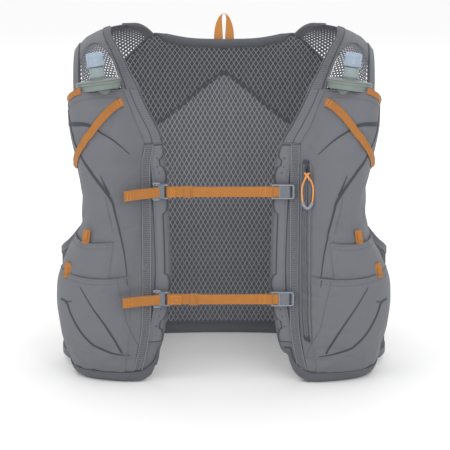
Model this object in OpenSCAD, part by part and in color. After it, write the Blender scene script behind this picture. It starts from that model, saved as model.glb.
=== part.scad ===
// Running-vest hydration pack, worn shape, standing on its front pods and the base of its back.
// +X is the wearer's left, -Y is the front, +Z is up. Left and right are the wearer's.

/* [Torso] */
// Half width of the torso section that the pack wraps
torso_w = 192; // [190:1:205]
// Half depth of the torso section
torso_d = 105; // [95:1:115]
// Squareness of the torso section
torso_n = 2.4; // [2.2:0.1:2.8]
// Height at which the fabric starts to bend over the shoulder
bend_z = 300; // [290:1:310]
// Height of the shoulder crest above that bend
crest_rise = 102; // [95:1:108]

/* [Front panels] */
// How far the left front sits closer to the middle than the right front does
close_shift = 4; // [0:1:6]
// Thickness of the lining against the chest
lining_t = 3; // [2:0.5:4]
// Rise of the padded band from the inner edge to the pocket seam
band_rise = 10; // [9:1:12]
// Thickness of stretch pocket fabric
fabric_t = 1.6; // [1.2:0.1:2]

/* [Back] */
// Half width of the back panel at its base
back_w = 133; // [125:1:138]
// Thickness of the spacer mesh on the back
spacer_t = 6; // [4:1:8]
// Depth of the packed main compartment
pack_d = 25; // [23:1:27]

/* [Sternum straps] */
// Width of the webbing
web_w = 12; // [10:1:14]
// Thickness of the webbing
web_t = 1.4; // [1:0.1:1.6]
// Height of the upper strap
upper_z = 229; // [225:1:233]
// Height of the lower strap
lower_z = 103; // [100:1:106]

/* [Soft flasks] */
// Diameter of the flask collar
collar_d = 50; // [48:1:52]
// Lean of each flask away from the middle
flask_lean = 8; // [6:1:10]

/* [Hidden] */

grey = [0.44, 0.45, 0.47];
dark = [0.28, 0.29, 0.31];
pale = [0.58, 0.60, 0.63];
orange = [0.82, 0.50, 0.22];
frost = [0.72, 0.78, 0.82];
gap = 0.5;                            // clearance between layers of fabric
pod_rise = 46;                        // width over which a pod swells from its inner seam
pod_side = 32;                        // width over which it falls to its outer edge

crest_y = 15;                         // depth of the shoulder crest
crest_q = bend_z + 160;               // length of the shoulder arc, measured along the fabric
crest_in = 105;                       // where the crest starts to slope down
crest_half = 72;                      // how far out the crest reaches from there
crest_fall = 45;                      // how far it falls at its outer end
floor_in = 102;                       // where the hem starts to curve up at its inner corner
floor_out = 150;                      // and at its outer corner
floor_r = [26, 42];                   // widths of those corners
floor_h = 30;                         // height of those corners

// Outlines as [height, distance from the middle]
inner_edge = [[0, 80], [12, 70], [36, 65], [91, 58], [209, 60], [259, 63], [290, 70], [306, 78],
              [322, 87], [340, 96], [361, 106], [402, 115]];
outer_edge = [[0, 170], [30, 176], [75, 180], [106, 179], [130, 174], [190, 154], [205, 152],
              [254, 160], [300, 170], [340, 174], [402, 174]];
seam_line = [[0, 100], [60, 89], [112, 87], [262, 87], [285, 86], [306, 96], [324, 104], [350, 118],
             [402, 135]];
pod_depth = [[0, 14], [40, 27], [100, 35], [180, 45], [250, 50], [350, 53], [402, 54]];
back_widest = 133;                    // widest point of that outline
back_edge = [[0, 130], [165, back_widest], [200, 128], [250, 119], [300, 116], [402, 118]];
chevron = [[0, 335], [30, 312], [57, 289], [83, 270], [118, 246]];
neckline = [[0, 371], [40, 373], [70, 380], [86, 387], [128, 348]];

// A smooth curve through points [u, v], as v at u
function part_of(pts, u, i = 0) = (i >= len(pts) - 2 || u < pts[i + 1][0]) ? i : part_of(pts, u, i + 1);
function slope(pts, i) =
  let (a = pts[max(i - 1, 0)], b = pts[min(i + 1, len(pts) - 1)]) (b[1] - a[1]) / (b[0] - a[0]);
function curve(pts, u) =
  let (i = part_of(pts, u), p = pts[i], r = pts[i + 1], w = r[0] - p[0],
       t = min(1, max(0, (u - p[0]) / w)), s = 1 - t)
  p[1] * (1 + 2 * t) * s * s + r[1] * (1 + 2 * s) * t * t
  + w * t * s * (slope(pts, i) * s - slope(pts, i + 1) * t);
function mix(a, b, t) = a + (b - a) * t;
function round_up(t) = t >= 1 ? 1 : t <= 0 ? 0 : sqrt(1 - (1 - t) * (1 - t));
function unit(v) = v / norm(v);

// The torso, x being the distance from the middle and q the height measured along the fabric
function depth_at(x) = torso_d * pow(1 - pow(min(1, x / torso_w), torso_n), 1 / torso_n);
function height_of(q) = q <= bend_z ? q : bend_z + crest_rise * sin(min(90, 90 * (q - bend_z) / 160));
function along(z) = z <= bend_z ? z : bend_z + 160 / 90 * asin(min(1, (z - bend_z) / crest_rise));
function crest_drop(x) =
  x <= crest_in ? 0 : crest_fall * (1 - round_up(1 - min(1, (x - crest_in) / crest_half)));
function hem_z(x) =
  x < floor_in ? floor_h * (1 - round_up(1 - (floor_in - x) / floor_r[0]))
  : x > floor_out ? floor_h * (1 - round_up(1 - (x - floor_out) / floor_r[1])) : 0;
function wrap(x, q, facing, base) =
  q <= bend_z ? [x, facing * depth_at(x), base + q * (bend_z - base) / bend_z]
  : let (f = min(90, 90 * (q - bend_z) / 160), y = facing * depth_at(x))
    [x, mix(y, crest_y, 1 - cos(f)), bend_z + (crest_rise - crest_drop(x)) * sin(f)];
function front_at(x, q) = wrap(x, q, -1, hem_z(x));
function back_at(x, q) = wrap(abs(x), q, 1, 0);
function q_at(x, z) = (z - hem_z(x)) * bend_z / (bend_z - hem_z(x));
function mirrored(p, x) = x < 0 ? [-p[0], p[1], p[2]] : p;

// Points a distance h out of the torso
function front_off(x, q, h) =
  front_at(x, q) + h * unit(cross(front_at(x + 1, q) - front_at(x - 1, q),
                                  front_at(x, q + 1) - front_at(x, q - 1)));
function back_off(x, q, h) =
  let (u = abs(x))
  mirrored(back_at(u, q) + h * unit(cross(back_at(u, q + 1) - back_at(u, q - 1),
                                          back_at(u + 1, q) - back_at(max(u - 1, 0), q))), x);
function ring_off(t, z, h) =
  let (p = ring_at(t), r = ring_at(t + 1) - ring_at(t - 1), n = unit([r[1], -r[0]]))
  [p[0] + h * n[0], p[1] + h * n[1], z];
function ring_at(t) =
  [torso_w * pow(sin(t), 2 / torso_n),
   -torso_d * sign(cos(t)) * pow(abs(cos(t)), 2 / torso_n)];
function turn_of(x) = asin(pow(x / torso_w, torso_n / 2));

// Edges and thicknesses of a front, s being 1 on the left and -1 on the right
function shift(q, s) = s * close_shift * min(1, max(0, (bend_z - q) / 40));
function x_in(q, s) = curve(inner_edge, height_of(q)) - shift(q, s);
function x_out(q) = curve(outer_edge, height_of(q));
function x_seam(q, s) = curve(seam_line, height_of(q)) - shift(q, s);
function band_h(x, q, s) =
  let (x0 = x_in(q, s), x1 = x_seam(q, s))
  lining_t + band_rise * (x < x1 ? (x - x0) / (x1 - x0) : max(0, 1 - (x - x1) / 9));
function pod_h(x, q, s) =
  let (d = x - x_seam(q, s), e = pod_out(q) + gap - x, swell = sin(90 * min(1, max(0, d / pod_rise))))
  lining_t + gap + mix(band_rise, curve(pod_depth, height_of(q)), swell) * round_up(e / pod_side);

// A closed sheet between two grids of points
module sheet(outer, inner) {
  nj = len(outer);
  ni = len(outer[0]);
  n = ni * nj;
  function at(i, j) = j * ni + i;
  skin = [for (j = [0 : nj - 2]) for (i = [0 : ni - 2]) each
    [[at(i, j), at(i + 1, j + 1), at(i + 1, j)], [at(i, j), at(i, j + 1), at(i + 1, j + 1)]]];
  lining = [for (f = skin) [f[0] + n, f[2] + n, f[1] + n]];
  rim = concat([for (i = [0 : ni - 2]) at(i, 0)], [for (j = [0 : nj - 2]) at(ni - 1, j)],
               [for (i = [ni - 1 : -1 : 1]) at(i, nj - 1)], [for (j = [nj - 1 : -1 : 1]) at(0, j)]);
  edge = [for (k = [0 : len(rim) - 1]) let (a = rim[k], b = rim[(k + 1) % len(rim)]) each
    [[a, b, b + n], [a, b + n, a + n]]];
  polyhedron(concat([for (r = outer) each r], [for (r = inner) each r]), concat(skin, lining, edge));
}
function grid(ni, nj, f) = [for (j = [0 : nj]) [for (i = [0 : ni]) f(i / ni, j / nj)]];
module on_side(s) {
  if (s > 0) children();
  else mirror([1, 0, 0]) children();
}

// ---- Back ----
module back_panel() {
  low = base_h + gap;
  top = function (x) curve(chevron, abs(x)) - 1.5;
  spot = function (a, b, h) let (q = mix(low, top((2 * a - 1) * back_w), b))
    back_off((2 * a - 1) * curve(back_edge, q) * back_w / back_widest, q, h);
  color(dark) sheet(grid(12, 8, function (a, b) spot(1 - a, b, spacer_t)),
                    grid(12, 8, function (a, b) spot(1 - a, b, 0)));
}
module yoke_panel() {
  spot = function (a, b, h)
    let (x = (2 * a - 1) * mix(117, 127, b), low = curve(chevron, abs(x)), top = curve(neckline, abs(x)) - 5)
    back_off(x, mix(along(low), along(top), b), h);
  color(dark) sheet(grid(14, 4, function (a, b) spot(1 - a, b, spacer_t)),
                    grid(14, 4, function (a, b) spot(1 - a, b, 0)));
}
module shoulder_mesh(s) {
  // Single open knit between the yoke and the shoulder crest
  spot = function (a, b, h) let (x = mix(mix(86, 128, a), mix(112, 168, a), b),
                                 q = mix(along(mix(387, 345, a)), crest_q - 4, b))
    back_off(x, q, h);
  on_side(s) color(pale) sheet(grid(6, 6, function (a, b) spot(1 - a, b, 2)),
                               grid(6, 6, function (a, b) spot(1 - a, b, 0)));
}
module neck_binding() {
  // Folded binding along the back of the neckline
  spot = function (a, b, h) let (x = (2 * a - 1) * 82)
    back_off(x, along(curve(neckline, abs(x)) - 4.5 + 7 * b), h);
  color(dark) sheet(grid(18, 1, function (a, b) spot(1 - a, b, spacer_t - 1)),
                    grid(18, 1, function (a, b) spot(1 - a, b, 1)));
}
base_h = 11.5;                        // height of the binding round the base of the back
module base_binding() {
  spot = function (a, b, h) back_off((2 * a - 1) * (back_w - 5 + 2 * b), base_h * b, h);
  color(dark) sheet(grid(14, 1, function (a, b) spot(1 - a, b, spacer_t + 1)),
                    grid(14, 1, function (a, b) spot(1 - a, b, 0)));
}
pack_w = 118;                         // half width of the main compartment
pack_z = [16, 345];                   // bottom and top of the main compartment
function pack_fill(a, b) =
  (pack_d - 2) * round_up(min(a, 1 - a) * 4) * round_up(b * 6) * round_up((1 - b) * 2.2);
function pack_x(a, b) = (2 * a - 1) * mix(pack_w, 96, b * b);
function pack_q(b) = along(mix(pack_z[0], pack_z[1], b));
module main_compartment() {
  wall = 2;
  spot = function (a, b, h) back_off(pack_x(a, b), pack_q(b), h);
  color(grey) sheet(
    grid(14, 12, function (a, b) spot(1 - a, b, spacer_t + gap + wall + pack_fill(1 - a, b))),
    grid(14, 12, function (a, b) spot(1 - a, b, spacer_t + gap + pack_fill(1 - a, b))));
}
stash_d = 11;                         // depth of the stash pocket
module stash_pocket() {
  // Stretch pocket on the outside of the back, open at its top
  top = 0.58;
  spot = function (a, b, h) let (c = 0.04 + top * b, e = mix(0.02, 0.98, a))
    back_off(pack_x(e, c), pack_q(c), spacer_t + 3 + pack_fill(e, c) + 0.3
             + h + (stash_d - 1.6) * round_up(min(a, 1 - a) * 5) * round_up((0.25 + b) * 4));
  color(dark) sheet(grid(12, 6, function (a, b) spot(1 - a, b, 1.6)),
                    grid(12, 6, function (a, b) spot(1 - a, b, 0)));
}
module reservoir_sleeve() {
  spot = function (a, b, h) back_off((2 * a - 1) * 80, mix(32, 250, b), h);
  color(dark) sheet(grid(6, 5, function (a, b) spot(1 - a, b, spacer_t + 3)),
                    grid(6, 5, function (a, b) spot(1 - a, b, spacer_t + 1)));
}
module reservoir_hanger() {
  // Web loop and hook that hold up a reservoir
  hanger = back_off(0, 285, spacer_t + gap + 1);
  color(pale) translate(hanger) rotate([-90, 0, 0]) {
    translate([-6, -14, 0]) cube([12, 24, 1.4]);
    translate([0, 14, 0]) rotate_extrude() translate([6, 0]) square([2.4, 3]);
  }
}
zip_b = 0.8;                          // how far up the compartment the main zip runs
tape_t = 1.2;                         // thickness of zip tape
function main_zip_at(a, h) =
  back_off(pack_x(a, zip_b), pack_q(zip_b), spacer_t + gap + 2 + pack_fill(a, zip_b) + h);
module main_zip_tape() {
  spot = function (a, b, h) let (e = mix(0.16, 0.84, a), c = zip_b + (b - 0.5) * 0.026)
    back_off(pack_x(e, c), pack_q(c), spacer_t + gap + 2.4 + pack_fill(e, c) + h);
  color(dark) sheet(grid(14, 1, function (a, b) spot(1 - a, b, tape_t)),
                    grid(14, 1, function (a, b) spot(1 - a, b, 0)));
}
main_slider = main_zip_at(0.3, 4.2);
module eye(r, wall, w) {
  // Ring that a zip pull hangs from, its axis along X
  rotate([0, 90, 0]) rotate_extrude() translate([r, 0]) square([wall, w], center = true);
}
module main_zip_slider() {
  color(pale) translate(main_slider) rotate([-18, 0, 0]) {
    translate([-4, 0, -3.5]) cube([8, 2, 7]);
    translate([0, 2, -1]) eye(1.4, 0.8, 2);
  }
}
module main_zip_pull() {
  color(orange) translate(main_slider + [-2.5, 5.1, -33.5]) cube([5, 1.6, 31]);
}
module both_sides(p) {
  // A shape from its right half, which ends on the middle line
  polygon(concat(p, [for (k = [len(p) - 2 : -1 : 0]) [-p[k][0], p[k][1]]]));
}
haul_h = 34;                          // height of the haul loop above the neckline
module haul_loop() {
  // A tape folded to a point, with its two ends side by side at the top of the back
  base = back_off(0, along(368), spacer_t + 3.3);
  side = function (t) [12.4 * pow(1 - pow(t, 2.6), 0.62), haul_h * t];
  slot = function (t) [(1.2 + 2.4 * t) * sqrt(1 - pow(t, 8)), 3 + (haul_h - 7) * t];
  color(orange) translate([0, base[1] + 3, base[2]]) rotate([90, 0, 0]) linear_extrude(6) difference() {
    both_sides([for (k = [0 : 10]) side(k / 10)]);
    both_sides([for (k = [0 : 8]) slot(k / 8)]);
  }
}

// ---- Fronts ----
panel_q = along(338);                 // where the panel meets the shoulder strap
module front_panel(s) {
  spot = function (a, b, h) let (q = panel_q * b, x = mix(x_in(q, s), x_out(q), a))
    front_off(x, q, h < 0 ? band_h(x, q, s) : h);
  cols = function (a) a < 0.5 ? a * 0.56 : mix(0.28, 1, (a - 0.5) * 2);
  on_side(s) color(grey) sheet(grid(12, 16, function (a, b) spot(cols(1 - a), b, -1)),
                               grid(12, 16, function (a, b) spot(cols(1 - a), b, 0)));
}
module shoulder_strap(s) {
  spot = function (a, b, h) let (q = mix(panel_q + gap, crest_q - 1, b), x = mix(x_in(q, s), x_out(q), a))
    front_off(x, q, h);
  on_side(s) color(grey) sheet(grid(6, 8, function (a, b) spot(1 - a, b, 2.5)),
                               grid(6, 8, function (a, b) spot(1 - a, b, 0)));
}
wing_back = turn_of(136);             // the wing stops where the back panel's edge is
module side_wing(s) {
  // Stretch mesh round the wearer's side, from the front's outer edge to the back
  top = [[0, 196], [0.35, 138], [0.7, 128], [1, 160]];
  spot = function (a, b, h) let (z = mix(14, curve(top, a), b),
                                 t = mix(turn_of(min(x_out(z) + 3, 0.985 * torso_w)), 180 - wing_back, a))
    ring_off(t, z, h);
  on_side(s) color(dark) sheet(grid(10, 6, function (a, b) spot(a, b, 2.4)),
                               grid(10, 6, function (a, b) spot(a, b, 0.4)));
}
mouth_in = 11;                        // how much narrower each pod is at its mouth
function pod_out(q) = x_out(q) - gap - mouth_in * min(1, max(0, (height_of(q) - 200) / 130));
module pod_patch(s, ni, nj, low, high, from, to, lift, t) {
  // A patch of pocket fabric that lies lift above the flask pocket's own inner face
  ease = function (u) 1 - pow(1 - u, 1.3);
  spot = function (u, b, h)
    let (a = ease(u), q = mix(low(a), high(a), b), x = mix(x_seam(q, s) + gap, pod_out(q), mix(from, to, a)))
    front_off(x, q, pod_h(x, q, s) + h);
  on_side(s) sheet(grid(ni, nj, function (a, b) spot(1 - a, b, lift + t)),
                   grid(ni, nj, function (a, b) spot(1 - a, b, lift)));
}
mouth_q = along(330);                 // hem of the flask pocket
mouth_fall = 16;                      // how far that hem falls toward the armhole
module flask_pocket(s) {
  mouth = function (a) mouth_q - mouth_fall * pow(a, 4);
  color(grey) pod_patch(s, 14, 14, function (a) 4, mouth, 0, 1, 0, fabric_t);
}
patch_t = 1.2;                        // thickness of the outer pockets and elastic
patch_lift = fabric_t + 1.5;          // height of the outer pockets over the flask pocket's inner face
hem_top = 130;                        // mouth of the hem pocket
side_top = 172;                       // mouth of the side pocket
module side_pocket(s) {
  color(grey) pod_patch(s, 8, 4, function (a) hem_top + 3, function (a) side_top + 3 * a * a,
                        0.34, 0.97, patch_lift, patch_t);
}
module hem_pocket(s) {
  color(grey) pod_patch(s, 12, 6, function (a) 5, function (a) hem_top, 0.2, 0.97, patch_lift, patch_t);
}
strap_ease = 0.8;                     // how far the elastic stands off the pocket
module flask_strap(s) {
  // Elastic strap across the flask, from the band down to the armhole edge
  spot = function (a, b, h)
    let (x = mix(x_seam(along(325), s) + 4, 152, a),
         q = mix(325, 252, pow(a, 1.35)) + mix(9.5, 6, a) * (b - 0.5))
    front_off(x, q, pod_h(x, q, s) + patch_lift + strap_ease + h);
  on_side(s) color(orange) sheet(grid(12, 1, function (a, b) spot(1 - a, b, patch_t)),
                                 grid(12, 1, function (a, b) spot(1 - a, b, 0)));
}
// Pull tabs as [share of the pocket's width, height, length, lift]
tabs = [[0.62, side_top + 3, 15, patch_lift + 0.6], [0.74, hem_top, 17, patch_lift + patch_t + 1.2]];
module pull_tabs(s) {
  tab = function (k, a, b, h)
    let (t = tabs[k], q = t[1] + 2 + t[2] * b, x = mix(x_seam(q, s), pod_out(q), t[0]) + 6 * a)
    front_off(x, q, pod_h(x, q, s) + t[3] + h);
  on_side(s) color(orange) for (k = [0 : 1])
    sheet(grid(1, 4, function (a, b) tab(k, 1 - a, b, 1.6)), grid(1, 4, function (a, b) tab(k, 1 - a, b, 0)));
}
tape_w = 8.5;                         // width of the knit tape
trim_lift = 1;                        // clearance of the rail and the tape over the band
module edge_tape(s) {
  // Textured knit tape between the rail and the pocket seam
  spot = function (a, b, h)
    let (z = mix(45, 282, b), x = x_seam(z, s) - mix(tape_w, gap, a), q = q_at(x, z))
    front_off(x, q, band_h(x, q, s) + trim_lift + h);
  on_side(s) color(pale) sheet(grid(1, 16, function (a, b) spot(1 - a, b, 0.8)),
                               grid(1, 16, function (a, b) spot(1 - a, b, 0)));
}
rail_z = [50, 280];                   // ends of each rail
bumps = [53, 86, 118, 213, 245, 276]; // heights of the scallops on the rail's free edge
function bump(z) = 5 * max([for (c = bumps) round_up(1 - abs(z - c) / 12)]);
module rail(s) {
  spot = function (a, b, h)
    let (z = mix(rail_z[0], rail_z[1], b), edge = x_in(q_at(x_in(z, s), z), s),
         x = mix(edge + 6.5 - bump(z), min(edge + 15, x_seam(z, s) - tape_w - 1), a), q = q_at(x, z))
    front_off(x, q, band_h(x, q, s) + trim_lift + h);
  on_side(s) color(pale) sheet(grid(1, 60, function (a, b) spot(1 - a, b, 1.2)),
                               grid(1, 60, function (a, b) spot(1 - a, b, 0)));
}

// ---- Soft flasks ----
collar_at = [142, -101.5, 349];          // middle of the flask collar
flask_tip = 7;                        // how far the top of each flask leans back
module flask_place(s) {
  on_side(s) translate(collar_at) rotate([-flask_tip, flask_lean, 0]) children();
}
module flask(s) {
  color(frost) flask_place(s) {
    translate([0, 0, -16]) scale([1, 0.53, 1]) rotate_extrude()
      polygon([[0, 4], [15, 0], [18, -8], [20, -20], [20.5, -60], [19, -86], [16, -104], [9, -117],
               [0, -121]]);
    translate([0, 0, -18]) cylinder(r = 9, h = 9, $fn = 48);
    translate([0, 0, -10]) cylinder(r = 15, h = 12.5, $fn = 64);
  }
}
module flask_collar(s) {
  color(frost) flask_place(s) {
    rotate_extrude() polygon([[16, -6], [25, -6], [25, 1], [23, 1], [23, 2.5], [collar_d / 2, 2.5],
                              [collar_d / 2, 6], [9.2, 6], [9.2, 3.5], [16, 3.5]]);
  }
}
module bite_valve(s) {
  color(frost) flask_place(s) {
    rotate_extrude() polygon([[0, 3], [8.5, 3], [8.5, 20], [6, 20], [6, 30], [0, 30]]);
  }
}
module valve_cover(s) {
  color("white") flask_place(s)
    rotate_extrude() polygon([[6.4, 20.5], [10, 20.5], [10, 34], [8.6, 36.5], [0, 36.5], [0, 31], [6.4, 31]]);
}

// ---- Chest zip pocket on the left front ----
zip_x = 6;                            // distance of the zip from the pocket seam
zip_q = [55, 262];                    // ends of the zip
function zip_off(q, h) =
  let (x = x_seam(q, 1) + zip_x) front_off(x, q, pod_h(x, q, 1) + fabric_t + h);
module chest_zip_tape() {
  spot = function (a, b, h)
    let (q = mix(zip_q[0], zip_q[1], b), x = x_seam(q, 1) + zip_x + 5 * (a - 0.5))
    front_off(x, q, pod_h(x, q, 1) + fabric_t + 0.3 + h);
  color(dark) sheet(grid(1, 14, function (a, b) spot(1 - a, b, tape_t)),
                    grid(1, 14, function (a, b) spot(1 - a, b, 0)));
}
slider_at = zip_off(254, 3.8);
module chest_zip_slider() {
  color(dark) translate(slider_at) rotate([0, 0, -35]) {
    translate([-3, -2, -4.5]) cube([6, 2, 9]);
    translate([0, -3.4, 1]) eye(1.1, 0.7, 1.8);
  }
}
// Route of the pull cord, from one side of its knot round to the other
cord_route = [[-1.8, -6, -7.2], [-4, -5.5, -11], [-6, -5.5, -17], [-6.5, -6, -24], [-6, -6, -31],
              [-5, -6, -37], [-2.5, -6, -41], [0, -6, -42.5], [2.5, -6, -41], [5, -6, -37], [6, -6, -31],
              [6.5, -6, -24], [6, -5.5, -17], [4, -5.5, -11], [1.4, -6, -7.2]];
cord_d = 2;
function tangent(p, i) = unit(p[min(i + 1, len(p) - 1)] - p[max(i - 1, 0)]);
module tube(p, r, n = 8) {
  m = len(p);
  pts = [for (i = [0 : m - 1])
    let (t = tangent(p, i), u = unit(cross(t, [0, -1, 0])), v = cross(t, u))
    for (k = [0 : n - 1]) p[i] + r * (cos(360 * k / n) * u + sin(360 * k / n) * v)];
  sides = [for (i = [0 : m - 2]) for (k = [0 : n - 1]) let (a = i * n + k, b = i * n + (k + 1) % n) each
    [[a, a + n, b + n], [a, b + n, b]]];
  polyhedron(pts, concat(sides, [[for (k = [0 : n - 1]) k]], [[for (k = [n - 1 : -1 : 0]) (m - 1) * n + k]]));
}
grip_from = 5;                        // the grip covers the route from this point
grip_to = 9;                          // to this one
module chest_zip_cord() {
  // Two free lengths, each ending just short of the grip
  cut = 0.85;
  near = mix(cord_route[grip_from - 1], cord_route[grip_from], cut);
  far = mix(cord_route[grip_to + 1], cord_route[grip_to], cut);
  color(orange) translate(slider_at) {
    tube(concat([for (i = [0 : grip_from - 1]) cord_route[i]], [near]), cord_d / 2);
    tube(concat([far], [for (i = [grip_to + 1 : len(cord_route) - 1]) cord_route[i]]), cord_d / 2);
  }
}
module chest_zip_grip() {
  // Knot at the slider and stiff tube round the bottom of the loop
  color(orange) translate(slider_at + [-0.8, -6.2, -3.5]) sphere(3, $fn = 24);
  color(pale) translate(slider_at) tube([for (i = [grip_from : grip_to]) cord_route[i]], 1.9, 10);
}

// ---- Sternum straps ----
lock_x = -70;                         // middle of each tension lock, on the right rail
hook_x = 67;                          // middle of each hook, in front of the left rail
strap_y = -117.8;                      // depth of the bars that the webbing turns round
frame_t = 3;                          // thickness of the locks and hooks
frame_h = web_w + 5;                  // height of the locks and hooks
bar_r = 1.2;                          // radius of each bar
fold_r = bar_r + 0.3;                 // inner radius of the webbing's folds
lock_bar = lock_x + 7;                // bar that the webbing hangs from
hook_bar = hook_x - 13;               // bar that the hook turns on
web_y = strap_y - fold_r - web_t;     // front face of the webbing
rail_reach = 4.3;                     // how far each lock's feet reach back to the rail
keep_x = [-41, -35];                  // middles of the upper and the lower keeper
module frame(x0, x1, windows) {
  // Flat moulded frame from x0 to x1, with windows given as [from, to]
  difference() {
    translate([x0, -frame_t / 2, -frame_h / 2]) cube([x1 - x0, frame_t, frame_h]);
    for (w = windows) translate([w[0], -frame_t, -web_w / 2 - 0.5])
      cube([w[1] - w[0], 2 * frame_t, web_w + 1]);
  }
}
module bar(x) { translate([x, 0, -frame_h / 2]) cylinder(r = bar_r, h = frame_h, $fn = 32); }
module tension_lock(z) {
  // Frame with a bar on its open side for the sewn webbing and a window for the free end
  color(pale) translate([0, strap_y, z]) {
    frame(lock_x - 9, lock_bar, [[lock_x - 6.5, lock_x - 2], [lock_x + 1.5, lock_bar + 1]]);
    bar(lock_bar);
    for (k = [-1, 1]) translate([lock_x - 8, frame_t / 2 - 0.1, k * (frame_h / 2 - 1.5) - 1.5])
      cube([11, rail_reach, 3]);
  }
}
module strap_tail(z, turn) {
  // Free end of the webbing, which lies over the right pod
  color(orange) translate([lock_x - 3, strap_y - frame_t / 2 - 0.4, z]) rotate([0, 0, turn])
    translate([-46, -web_t, -web_w / 2]) cube([46, web_t, web_w]);
}
module webbing(z) {
  // Tape with a sewn fold round the lock's bar and another round the hook's bar
  color(orange) translate([0, 0, z - web_w / 2]) {
    for (x = [lock_bar, hook_bar]) translate([x, strap_y, 0]) difference() {
      cylinder(r = fold_r + web_t, h = web_w, $fn = 48);
      translate([0, 0, -1]) cylinder(r = fold_r, h = web_w + 2, $fn = 48);
    }
    translate([lock_bar, web_y, 0]) cube([hook_bar - lock_bar, web_t, web_w]);
  }
}
module keeper(z, x) {
  // Elastic band that slides along the webbing
  color(orange) translate([x, web_y + web_t / 2, z]) difference() {
    cube([9, web_t + 2.6, web_w + 2.6], center = true);
    cube([10, web_t + 0.4, web_w + 0.4], center = true);
  }
}
module hook(z) {
  // Clip that turns on its bar and holds the left rail in its slot
  color(pale) translate([0, strap_y, z]) {
    frame(hook_bar, hook_x + 13, [[hook_bar - 1, hook_bar + 6], [hook_x + 8.5, hook_x + 10.5]]);
    bar(hook_bar);
  }
}

back_panel();
yoke_panel();
neck_binding();
base_binding();
main_compartment();
reservoir_sleeve();
reservoir_hanger();
stash_pocket();
main_zip_tape();
haul_loop();
main_zip_slider();
main_zip_pull();
shoulder_mesh(1);  // left_shoulder_mesh
shoulder_mesh(-1);  // right_shoulder_mesh
front_panel(1);  // left_front_panel
front_panel(-1);  // right_front_panel
shoulder_strap(1);  // left_shoulder_strap
shoulder_strap(-1);  // right_shoulder_strap
side_wing(1);  // left_side_wing
side_wing(-1);  // right_side_wing
flask_pocket(1);  // left_flask_pocket
flask_pocket(-1);  // right_flask_pocket
side_pocket(1);  // left_side_pocket
side_pocket(-1);  // right_side_pocket
hem_pocket(1);  // left_hem_pocket
hem_pocket(-1);  // right_hem_pocket
flask_strap(1);  // left_flask_strap
flask_strap(-1);  // right_flask_strap
pull_tabs(1);  // left_pull_tabs
pull_tabs(-1);  // right_pull_tabs
edge_tape(1);  // left_edge_tape
edge_tape(-1);  // right_edge_tape
rail(1);  // left_rail
rail(-1);  // right_rail
flask(1);  // left_flask
flask(-1);  // right_flask
flask_collar(1);  // left_flask_collar
flask_collar(-1);  // right_flask_collar
bite_valve(1);  // left_bite_valve
bite_valve(-1);  // right_bite_valve
valve_cover(1);  // left_valve_cover
valve_cover(-1);  // right_valve_cover
chest_zip_tape();
chest_zip_slider();
chest_zip_cord();
chest_zip_grip();
tension_lock(upper_z);  // upper_tension_lock
tension_lock(lower_z);  // lower_tension_lock
strap_tail(upper_z, 31);  // upper_strap_tail
strap_tail(lower_z, 22);  // lower_strap_tail
webbing(upper_z);  // upper_webbing
webbing(lower_z);  // lower_webbing
keeper(upper_z, keep_x[0]);  // upper_keeper
keeper(lower_z, keep_x[1]);  // lower_keeper
hook(upper_z);  // upper_hook
hook(lower_z);  // lower_hook
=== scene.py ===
"""Looks of the hydration pack: a worn running vest that stands on its front pods and its back.

Shapes are worked out in millimetres in the frame of the CAD model, and turned into metres
when a mesh is made. x is the distance from the middle, q the height measured along the fabric.
"""
import math
from functools import partial

import bpy
import numpy as np
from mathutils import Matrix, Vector


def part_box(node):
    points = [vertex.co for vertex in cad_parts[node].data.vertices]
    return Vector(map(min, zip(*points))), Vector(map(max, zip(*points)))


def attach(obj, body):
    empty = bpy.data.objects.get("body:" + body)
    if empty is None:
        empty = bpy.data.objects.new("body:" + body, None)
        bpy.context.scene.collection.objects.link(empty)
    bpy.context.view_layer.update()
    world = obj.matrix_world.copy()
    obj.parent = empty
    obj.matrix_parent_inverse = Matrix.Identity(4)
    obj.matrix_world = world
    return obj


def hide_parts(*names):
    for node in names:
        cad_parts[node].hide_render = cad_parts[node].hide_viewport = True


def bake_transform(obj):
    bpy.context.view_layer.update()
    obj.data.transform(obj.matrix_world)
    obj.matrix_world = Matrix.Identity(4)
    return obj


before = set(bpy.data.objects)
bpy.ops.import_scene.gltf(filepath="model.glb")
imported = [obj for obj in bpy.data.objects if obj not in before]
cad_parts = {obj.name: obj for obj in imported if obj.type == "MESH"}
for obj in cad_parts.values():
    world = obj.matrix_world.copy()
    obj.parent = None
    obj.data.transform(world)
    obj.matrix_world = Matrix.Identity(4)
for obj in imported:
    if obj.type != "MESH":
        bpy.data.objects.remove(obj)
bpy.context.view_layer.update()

MM = 0.001

# ---------------------------------------------------------------- sizes from the frame


def box_mm(node):
    """Lowest and highest corner of a CAD node, in millimetres."""
    low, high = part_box(node)
    return np.array(low) / MM, np.array(high) / MM


TORSO_W, TORSO_D, TORSO_N = 192.0, 105.0, 2.4
BEND_Z, CREST_RISE, CREST_ARC = 300.0, 102.0, 160.0
CREST_Y, CREST_Q = 15.0, 460.0
CREST_IN, CREST_HALF, CREST_FALL = 105.0, 72.0, 45.0
CLOSE = 4.0
FLOOR_Z = 0.6
LINING_T, BAND_RISE, FABRIC_T, SPACER_T, GAP = 3.0, 10.0, 1.6, 6.0, 0.5
POD_RISE, POD_SIDE, PATCH_T = 46.0, 32.0, 1.2
MOUTH_IN, MOUTH_FALL = 11.0, 16.0
HEM_TOP, SIDE_TOP = 130.0, 172.0
PACK_D, PACK_W, PACK_Z = 25.0, 118.0, (16.0, 345.0)
STASH_D, ZIP_B = 11.0, 0.8

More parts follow.
